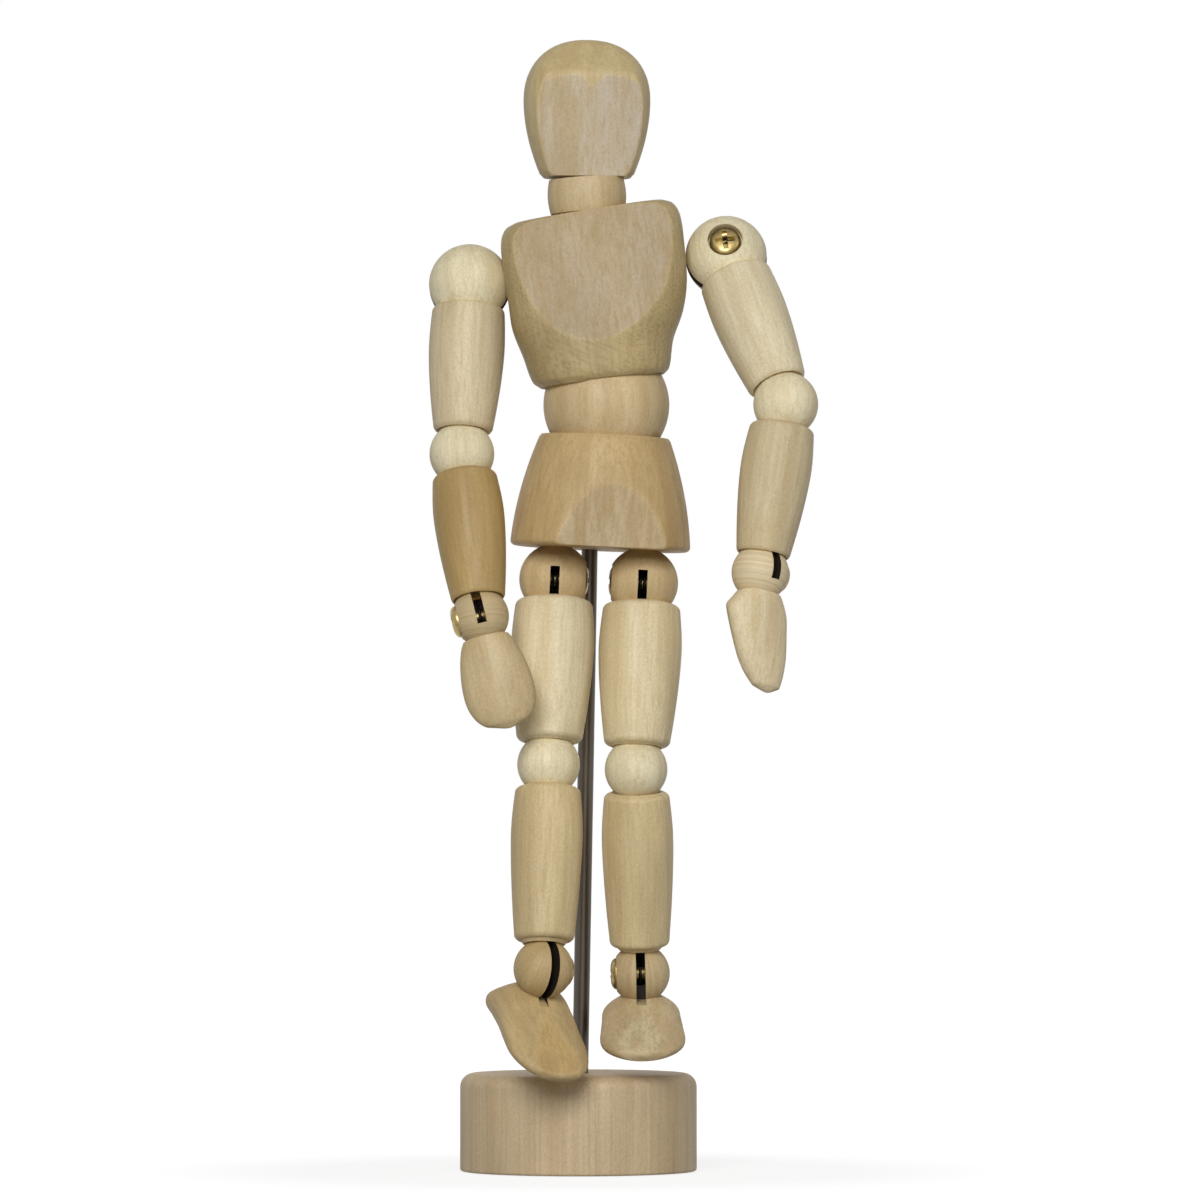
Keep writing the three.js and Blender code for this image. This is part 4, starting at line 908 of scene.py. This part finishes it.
for side, out in (("right", -1), ("left", 1)):
    wrist_at = place_of(f"{side}_wrist_bend")
    forearm_seat = seat(wrist_at, -axis_of(f"{side}_wrist_bend"), place_of(f"{side}_elbow_bend") - wrist_at)
    hand_seat = forearm_seat @ turned_about(*hand_pose[side])
    ball_seats[f"{side}_wrist"] = hand_seat
    mitten_points, mitten_faces = lofted(hand_stations[side], 72, 60, hand_place, 8, 0.05)
    mitten_points, mitten_bites = planed(mitten_points, hand_bevels[side])
    hand = shaped_piece(f"{side}_mitten_hand", mitten_points, mitten_faces, hand_seat, mitten_bites)
    wrist_points, wrist_faces = turned_points(arc(0, 0, wrist_radius, -90, 90, 40), 80)
    worked(hand, [shaped_piece("wrist_ball", wrist_points, wrist_faces, hand_seat)], "UNION")
    slot = slot_cutter(wrist_radius, -eye_reach, wrist_radius + 1, out, hand_seat)
    cut_away(hand, [slot, *screw_cutters(wrist_radius, hand_seat, 1)])
    shade_slot_walls(hand, wrist_radius, hand_seat)
    finish_piece(hand, hand_wood[side], f"{side}_hand", f"{side}_hand")


# Feet
# Carved shoes in one piece with their ankle balls: flat soles, rounded heels and toes, and a flat
# sanded across the instep. The slot and screw in the ball hold the lower eye of the leg's spring.
toe_length = 13.2
heel_length = 4.6
foot_half_width = 5.2
ankle_slot_depth = 3.3
saw_run_length = 6
instep_lean = math.radians(22)
foot_dome = 0.42
sole = -8.7
# Distance toward the toe, half width, underside, top and squareness
foot_shape = [
    (-heel_length, 0.6, sole + 0.8, -6.2, 2.7),
    (-heel_length + 1, 0.84, sole + 0.15, -4.6, 2.7),
    (-1, 0.92, sole, -2.4, 2.7),
    (2, 0.94, sole, -2.6, 2.7),
    (5, 0.98, sole, -3.8, 2.6),
    (8.2, 1, sole, -4.9, 2.4),
    (toe_length - 2.6, 0.88, sole + 0.05, -5.6, 2.2),
    (toe_length - 0.9, 0.64, sole + 0.2, -6.2, 2.1),
    (toe_length, 0.36, sole + 0.5, -6.9, 2.1),
]
foot_stations = []
for at, width, low, high, squareness in foot_shape:
    foot_stations.append((at, width * foot_half_width, (high - low) / 2, squareness, (high + low) / 2))
foot_droop = {"right": 39, "left": 1}
foot_wood = {
    "right": bare_wood("bare_yellow_wood_right_foot", "#B8A072", "#BD9F69"),
    "left": bare_wood("bare_straw_wood_left_foot", "#BCA780", "#CBBB95"),
}


# The shoe is domed: the higher a point stands above the middle of its ring, the more it leans in
def foot_place(x, y, at, rest):
    rise = max(0.0, y / (rest[0] - sole))
    return Vector((x * (1 - foot_dome * rise ** 2), -at, y + rest[0]))


for side, out in (("right", -1), ("left", 1)):
    ankle_at = place_of(f"{side}_ankle_bend")
    shin_seat = seat(ankle_at, -axis_of(f"{side}_ankle_bend"), place_of(f"{side}_knee_bend") - ankle_at)
    foot_seat = shin_seat @ turned_about(foot_droop[side], 0, 0)
    ball_seats[f"{side}_ankle"] = foot_seat
    foot_points, foot_faces = lofted(foot_stations, 80, 72, foot_place, 10, 0.5)
    instep_way = Vector((0, -math.sin(instep_lean), math.cos(instep_lean)))
    foot_points, foot_bites = planed(foot_points, [(Vector((0, -toe_length / 2, -4.5)), instep_way)])
    foot = shaped_piece(f"{side}_shoe_foot", foot_points, foot_faces, foot_seat, foot_bites, lengthwise=1)
    ankle_points, ankle_faces = turned_points(arc(0, 0, ankle_radius, -90, 90, 40), 80)
    worked(foot, [shaped_piece("ankle_ball", ankle_points, ankle_faces, foot_seat)], "UNION")
    slot = slot_cutter(ankle_radius, -eye_reach, ankle_radius + 1, 1, foot_seat)
    run_middle = Vector((0, -saw_run_length / 2, -ankle_slot_depth / 2))
    saw_run = box_cutter("saw_run", (slot_width, saw_run_length, ankle_slot_depth), run_middle, foot_seat)
    cut_away(foot, [slot, saw_run, *screw_cutters(ankle_radius, foot_seat, -out)])
    shade_slot_walls(foot, ankle_radius, foot_seat)
    finish_piece(foot, foot_wood[side], f"{side}_foot", f"{side}_foot")


# Screws
# Small pan head screws with a cross recess, steel with a thin brass plating. One crosses the slot of
# each shoulder, wrist, hip and ankle ball, and its head sits down in a counterbore.
patch_width = 0.9


# The plating is bright where it is clean and duller in patches of that width in millimetres
def plated_steel(name, colour, dull):
    material, tree, shader = new_material(name)
    where = add(tree, "ShaderNodeTexCoord").outputs["Object"]
    film = add(tree, "ShaderNodeTexNoise", {"Vector": where, "Scale": 1 / (patch_width * MM), "Detail": 4})
    span = {"Value": film.outputs["Fac"], "From Min": 0.35, "From Max": 0.7}
    share = add(tree, "ShaderNodeMapRange", span).outputs[0]
    patches = {"Factor": share, 6: linear(colour), 7: linear(dull)}
    colours = add(tree, "ShaderNodeMix", patches, data_type="RGBA")
    tree.links.new(colours.outputs[2], shader.inputs["Base Color"])
    rough = add(tree, "ShaderNodeMapRange", {"Value": share, "To Min": 0.28, "To Max": 0.45}).outputs[0]
    tree.links.new(rough, shader.inputs["Roughness"])
    shader.inputs["Metallic"].default_value = 1.0
    return material


screw_head_height = 1.25
screw_head_edge = 0.08
head_wall_share = 0.4
pan_fullness = 0.62
seat_gap = 0.1
reach_share = 0.72
tip_bevel = 0.2
tip_length = 0.4
cross_length = 2.5
cross_width = 0.62
cross_depth = 0.7
screw_plate = plated_steel("brass_plated_steel", "#AE9A68", "#7A6A42")
screw_balls = {
    "shoulder": shoulder_radius, "wrist": wrist_radius, "hip": hip_radius, "ankle": ankle_radius,
}
screw_bodies = {"shoulder": "shoulder_ball", "wrist": "hand", "hip": "hip_ball", "ankle": "foot"}


def screw_profile(radius):
    under_head = radius * counterbore_share + seat_gap
    top = under_head + screw_head_height
    foot = -radius * reach_share
    profile = [(0, foot), (screw_radius - tip_bevel, foot), (screw_radius, foot + tip_length)]
    profile += [(screw_radius, under_head), (screw_head_radius - screw_head_edge, under_head)]
    profile += [(screw_head_radius, under_head + screw_head_edge)]
    profile += [(screw_head_radius, under_head + screw_head_height * head_wall_share)]
    for i in range(1, 11):
        angle = math.radians(90 * i / 10)
        rise = screw_head_height * (head_wall_share + (1 - head_wall_share) * math.sin(angle))
        across = screw_head_radius * math.cos(angle) ** pan_fullness if i < 10 else 0
        profile.append((across, under_head + rise))
    return profile, top


# A pan screw as a node group: the lathe turns it, and two bars as deep as the driver's tip are taken
# out of its top
def screw_group():
    sockets = {
        "Profile": "Geometry", "Top": "Float", "Cross Length": "Float", "Cross Width": "Float",
        "Cross Depth": "Float", "Plating": "Material",
    }
    group, given = new_group("pan_screw", sockets, "Screw")
    blank = add(group, "GeometryNodeGroup", node_tree=lathe)
    group.links.new(given["Profile"], blank.inputs["Profile"])
    blank.inputs["Sides"].default_value = 48
    deep = add(group, "ShaderNodeMath", {0: given["Cross Depth"], 1: 2.0}, operation="MULTIPLY").outputs[0]
    head_top = add(group, "ShaderNodeCombineXYZ", {"Z": given["Top"]}).outputs[0]
    recessed = blank.outputs[0]
    for x_side, y_side in (("Cross Length", "Cross Width"), ("Cross Width", "Cross Length")):
        bar_sides = {"X": given[x_side], "Y": given[y_side], "Z": deep}
        size = add(group, "ShaderNodeCombineXYZ", bar_sides).outputs[0]
        bar = add(group, "GeometryNodeMeshCube", {"Size": size}).outputs["Mesh"]
        placed = add(group, "GeometryNodeTransform", {"Geometry": bar, "Translation": head_top}).outputs[0]
        cut = {"Mesh 1": recessed, "Mesh 2": placed}
        recessed = add(group, "GeometryNodeMeshBoolean", cut, operation="DIFFERENCE").outputs["Mesh"]
    whole = add(group, "GeometryNodeRealizeInstances", {"Geometry": recessed}).outputs[0]
    plated = {"Geometry": whole, "Material": given["Plating"]}
    add(group, "NodeGroupOutput", {0: add(group, "GeometryNodeSetMaterial", plated).outputs[0]})
    return group


pan_screw = screw_group()
for side, out in (("right", -1), ("left", 1)):
    for joint, radius in screw_balls.items():
        way = -out if joint in ("hip", "ankle") else 1
        screw_seat = ball_seats[f"{side}_{joint}"] @ Matrix.Rotation(math.radians(90 * way), 4, "Y")
        profile, top = screw_profile(radius)
        settings = {
            "Top": top, "Cross Length": cross_length, "Cross Width": cross_width, "Cross Depth": cross_depth,
            "Plating": screw_plate,
        }
        line = [(across, 0, height) for across, height in profile]
        screw = baked(f"{side}_{joint}_pan_screw", line, pan_screw, settings)
        screw.data.transform(Matrix.Scale(MM, 4) @ screw_seat)
        outward(screw.data, 32)
        body = f"{side}_{screw_bodies[joint]}"
        finish_piece(screw, screw_plate, body, f"{side}_{joint}_screw")


# Cross pins and springs
# Dark steel pins cross the pelvis and the head, and coil springs of thin music wire hook on pins
# and screws to pull each chain of pieces tight. They stay inside, glimpsed only in the slots.
spring_steel = drawn_steel("dark_music_wire", "#2B2A28", 0.55)
wire_radius = 0.175
coil_radius = 1.1
coil_pitch = 1.0
turn_steps = 16
eye_offset = 0.26
eye_room = 0.25
eye_neck = 1.7
torso_coil_rise = 6.8
pin_rise = 6.4
head_pin_rise = 5.2
eye_radius = screw_radius + eye_room + wire_radius
for node in ("pelvis_pin", "head_pin"):
    frame["nodes"][node].data.materials.clear()
    frame["nodes"][node].data.materials.append(spring_steel)


# Wire of one thickness drawn along any route, as a node group with its sizes as inputs
def wire_group():
    sockets = {"Route": "Geometry", "Wire Radius": "Float", "Steel": "Material"}
    group, given = new_group("drawn_wire", sockets, "Wire")
    section = {"Resolution": 10, "Radius": given["Wire Radius"]}
    die = add(group, "GeometryNodeCurvePrimitiveCircle", section).outputs["Curve"]
    pull = {"Curve": given["Route"], "Profile Curve": die, "Fill Caps": True}
    drawn = add(group, "GeometryNodeCurveToMesh", pull).outputs[0]
    whole = add(group, "GeometryNodeRealizeInstances", {"Geometry": drawn}).outputs[0]
    finished = {"Geometry": whole, "Material": given["Steel"]}
    add(group, "NodeGroupOutput", {0: add(group, "GeometryNodeSetMaterial", finished).outputs[0]})
    return group


drawn_wire = wire_group()


def wire(name, route, body, node):
    line = [place * MM for place in route]
    piece = baked(name, line, drawn_wire, {"Wire Radius": wire_radius * MM, "Steel": spring_steel})
    outward(piece.data, 60)
    finish_piece(piece, spring_steel, body, node)


def eye(centre, axis, toward):
    out_way = (toward - axis * toward.dot(axis)).normalized()
    beside = axis.cross(out_way)
    route = []
    for i in range(19):
        angle = math.radians(50 + 270 * i / 18)
        route.append(centre + (out_way * math.cos(angle) + beside * math.sin(angle)) * eye_radius)
    return route + [centre + out_way * eye_radius * eye_neck]


def coil(start, way, turns):
    across = Vector((0, 1, 0)).cross(way).normalized()
    up = way.cross(across)
    route = [start]
    for i in range(turns * turn_steps + 1):
        angle = 2 * math.pi * i / turn_steps
        along = coil_pitch * (1 + i / turn_steps)
        route.append(start + way * along + (across * math.cos(angle) + up * math.sin(angle)) * coil_radius)
    return route + [start + way * coil_pitch * (turns + 2)]


# A limb's spring: an eye in the upper ball, a coil in the upper barrel, straight wire through the
# middle ball and the lower barrel, and an eye in the lower ball; each length rides with what hides it
def limb_spring(node, upper_ball, middle_ball, lower_ball, bodies):
    upper, upper_axis, upper_radius = upper_ball
    middle, middle_radius = middle_ball
    lower, lower_axis, lower_radius = lower_ball
    down = (middle - upper).normalized()
    further = (lower - middle).normalized()
    through = (down + further).normalized()
    clear = wire_radius + 0.4
    coil_route = coil(upper + down * (upper_radius + clear), down, 4)
    coil_route.append(middle - down * (middle_radius + clear))
    tail_route = [middle + further * (middle_radius + clear), lower - further * (lower_radius + clear)]
    middle_route = [middle - through * (middle_radius - 0.1), middle + through * (middle_radius - 0.1)]
    wire(f"{node}_upper_eye", eye(upper - upper_axis * eye_offset, upper_axis, down), bodies[0], node)
    wire(f"{node}_coil", coil_route, bodies[1], node)
    wire(f"{node}_middle", middle_route, bodies[2], node)
    wire(f"{node}_tail", tail_route, bodies[3], node)
    wire(f"{node}_lower_eye", eye(lower, lower_axis, -further), bodies[4], node)


def x_way(seat_matrix):
    return seat_matrix.to_3x3() @ Vector((1, 0, 0))


for side, out in (("right", -1), ("left", 1)):
    limb_spring(
        f"{side}_arm_spring",
        (place_of(f"{side}_shoulder_turn"), x_way(ball_seats[f"{side}_shoulder"]), shoulder_radius),
        (place_of(f"{side}_elbow_bend"), elbow_radius),
        (place_of(f"{side}_wrist_bend"), x_way(ball_seats[f"{side}_wrist"]), wrist_radius),
        [f"{side}_{body}" for body in ("shoulder_ball", "upper_arm", "elbow_ball", "forearm", "hand")],
    )
    limb_spring(
        f"{side}_leg_spring",
        (hips[side], pelvis_x, hip_radius),
        (place_of(f"{side}_knee_bend"), knee_radius),
        (place_of(f"{side}_ankle_bend"), x_way(ball_seats[f"{side}_ankle"]), ankle_radius),
        [f"{side}_{body}" for body in ("hip_ball", "thigh", "knee_ball", "calf", "foot")],
    )
    hip_node = f"{side}_hip_spring"
    pin_at = pelvis_seat @ Vector((out * hip_spread, 0, pin_rise))
    hip_eye = eye(hips[side] + pelvis_x * eye_offset, pelvis_x, pelvis_z)
    wire(f"{hip_node}_lower_eye", hip_eye, f"{side}_hip_ball", hip_node)
    hip_coil = coil(hips[side] + pelvis_z * hip_radius, pelvis_z, 2)
    wire(f"{hip_node}_coil", hip_coil + eye(pin_at, pelvis_x, -pelvis_z)[::-1], "pelvis", hip_node)
    shoulder_axis = x_way(ball_seats[f"{side}_shoulder"])
    inward = -axis_of("neck_nod") * out
    shoulder_eye = eye(place_of(f"{side}_shoulder_turn") + shoulder_axis * eye_offset, shoulder_axis, inward)
    wire(f"shoulder_spring_{side}_eye", shoulder_eye, f"{side}_shoulder_ball", "shoulder_spring")

right_shoulder = place_of("right_shoulder_turn")
left_shoulder = place_of("left_shoulder_turn")
across_chest = (left_shoulder - right_shoulder).normalized()
across_coil = coil(right_shoulder + across_chest * shoulder_radius, across_chest, 3)
across_coil.append(left_shoulder - across_chest * shoulder_radius)
wire("shoulder_spring_coil", across_coil, "chest", "shoulder_spring")
waist_at = place_of("waist_bend")
neck_at = place_of("neck_nod")
spine = (neck_at - waist_at).normalized()
upright = Vector((0, 0, 1))
ball_reach = 2
pelvis_hook = pelvis_seat @ Vector((0, 0, pin_rise))
head_hook = neck_at + upright * (head_rise + head_pin_rise)
torso_lengths = {
    "pelvis": ("pelvis_eye", eye(pelvis_hook, pelvis_x, pelvis_z) + [waist_at - pelvis_z * ball_reach]),
    "chest": ("coil", [
        waist_at + spine * ball_reach,
        *coil(waist_at + spine * torso_coil_rise, spine, 4),
        neck_at - spine * ball_reach,
    ]),
    "head": ("head_eye", eye(head_hook, side_way, -upright) + [neck_at + upright * ball_reach]),
}
for body, (part, route) in torso_lengths.items():
    wire(f"torso_spring_{part}", route, body, "torso_spring")


# Floor, light and camera
# The figure stands on a plain white sweep. Light comes from a soft box in front, a weak one at the
# right, a shadowless fill behind and a white surround; the camera is a long lens at knee height.
scene = bpy.context.scene
scene.view_settings.view_transform = "Standard"
floor_size = 4.0
floor_mesh = bpy.data.meshes.new("white_sweep")
half = floor_size / 2
floor_corners = [(-half, -half, 0), (half, -half, 0), (half, half, 0), (-half, half, 0)]
floor_mesh.from_pydata(floor_corners, [], [(0, 1, 2, 3)])
floor = bpy.data.objects.new("white_sweep", floor_mesh)
floor.location.z = -0.0001
scene.collection.objects.link(floor)
sweep, sweep_tree, sweep_shader = new_material("white_paper_sweep")
sweep_shader.inputs["Roughness"].default_value = 0.9
# White to the camera, and greyer to the light that it throws back up at the figure
ray = add(sweep_tree, "ShaderNodeLightPath").outputs
span = {"Value": ray["Is Camera Ray"], "To Min": 0.35, "To Max": 0.9}
paper = add(sweep_tree, "ShaderNodeMapRange", span)
sweep_tree.links.new(paper.outputs[0], sweep_shader.inputs["Base Color"])
seen_by = {0: ray["Is Camera Ray"], 1: ray["Is Glossy Ray"]}
seen = add(sweep_tree, "ShaderNodeMath", seen_by, operation="MAXIMUM")
where = add(sweep_tree, "ShaderNodeTexCoord").outputs["Object"]
away = add(sweep_tree, "ShaderNodeVectorMath", {0: where}, operation="LENGTH").outputs["Value"]
span = {"Value": away, "From Min": 0.034, "From Max": 0.07, "To Min": 0.75, "To Max": 1.0}
whiter = add(sweep_tree, "ShaderNodeMapRange", span).outputs[0]
share = add(sweep_tree, "ShaderNodeMath", {0: seen.outputs[0], 1: whiter}, operation="MULTIPLY")
glow = add(sweep_tree, "ShaderNodeEmission", {"Color": (1, 1, 1, 1), "Strength": 1.06})
layers = {0: share.outputs[0], 1: sweep_shader.outputs[0], 2: glow.outputs[0]}
white = add(sweep_tree, "ShaderNodeMixShader", layers)
sweep_tree.links.new(white.outputs[0], sweep_tree.nodes["Material Output"].inputs["Surface"])
floor_mesh.materials.append(sweep)

world = bpy.data.worlds.new("white_surround")
world.use_nodes = True
scene.world = world
sky_tree = world.node_tree
sky_ray = add(sky_tree, "ShaderNodeLightPath").outputs
sky_seen = sky_ray["Is Camera Ray"]
for kind in ("Is Glossy Ray", "Is Transmission Ray"):
    seen_by = {0: sky_seen, 1: sky_ray[kind]}
    sky_seen = add(sky_tree, "ShaderNodeMath", seen_by, operation="MAXIMUM").outputs[0]
ambient = 0.12
sky_strength = add(sky_tree, "ShaderNodeMapRange", {"Value": sky_seen, "To Min": ambient, "To Max": 1.0})
sky_tree.links.new(sky_strength.outputs[0], sky_tree.nodes["Background"].inputs["Strength"])
sky_tree.nodes["Background"].inputs["Color"].default_value = (1, 1, 1, 1)


def soft_box(name, place, aim, size, watts):
    lamp = bpy.data.lights.new(name, "AREA")
    lamp.shape = "RECTANGLE"
    lamp.size, lamp.size_y = size
    lamp.energy = watts
    box = bpy.data.objects.new(name, lamp)
    box.location = place
    box.rotation_euler = (Vector(aim) - Vector(place)).to_track_quat("-Z", "Y").to_euler()
    scene.collection.objects.link(box)
    return box


figure_middle = (0.0025, 0.0, 0.075)
soft_box("front_soft_box", (-0.08, -0.75, 0.38), figure_middle, (0.35, 0.35), 5.4)
soft_box("side_soft_box", (0.6, -0.3, 0.3), figure_middle, (0.3, 0.5), 0.5)

back_fill = soft_box("back_fill", (0.05, 0.8, 0.1), figure_middle, (0.35, 0.2), 4.6)
back_fill.data.use_shadow = False
back_fill.visible_camera = False
back_fill.visible_glossy = False

camera_distance = 0.967
camera_height = 0.0465
camera_sideways = 0.00267
photo_width = 1200
focal_pixels = 7800
horizon_pixel = 795
camera_data = bpy.data.cameras.new("long_lens")
camera_data.sensor_width = 36
camera_data.lens = focal_pixels / photo_width * camera_data.sensor_width
camera = bpy.data.objects.new("long_lens", camera_data)
upward = math.atan((horizon_pixel - photo_width / 2) / focal_pixels)
camera.location = (camera_sideways, -camera_distance, camera_height)
camera.rotation_euler = (math.radians(90) + upward, 0, 0)
scene.collection.objects.link(camera)
scene.camera = camera
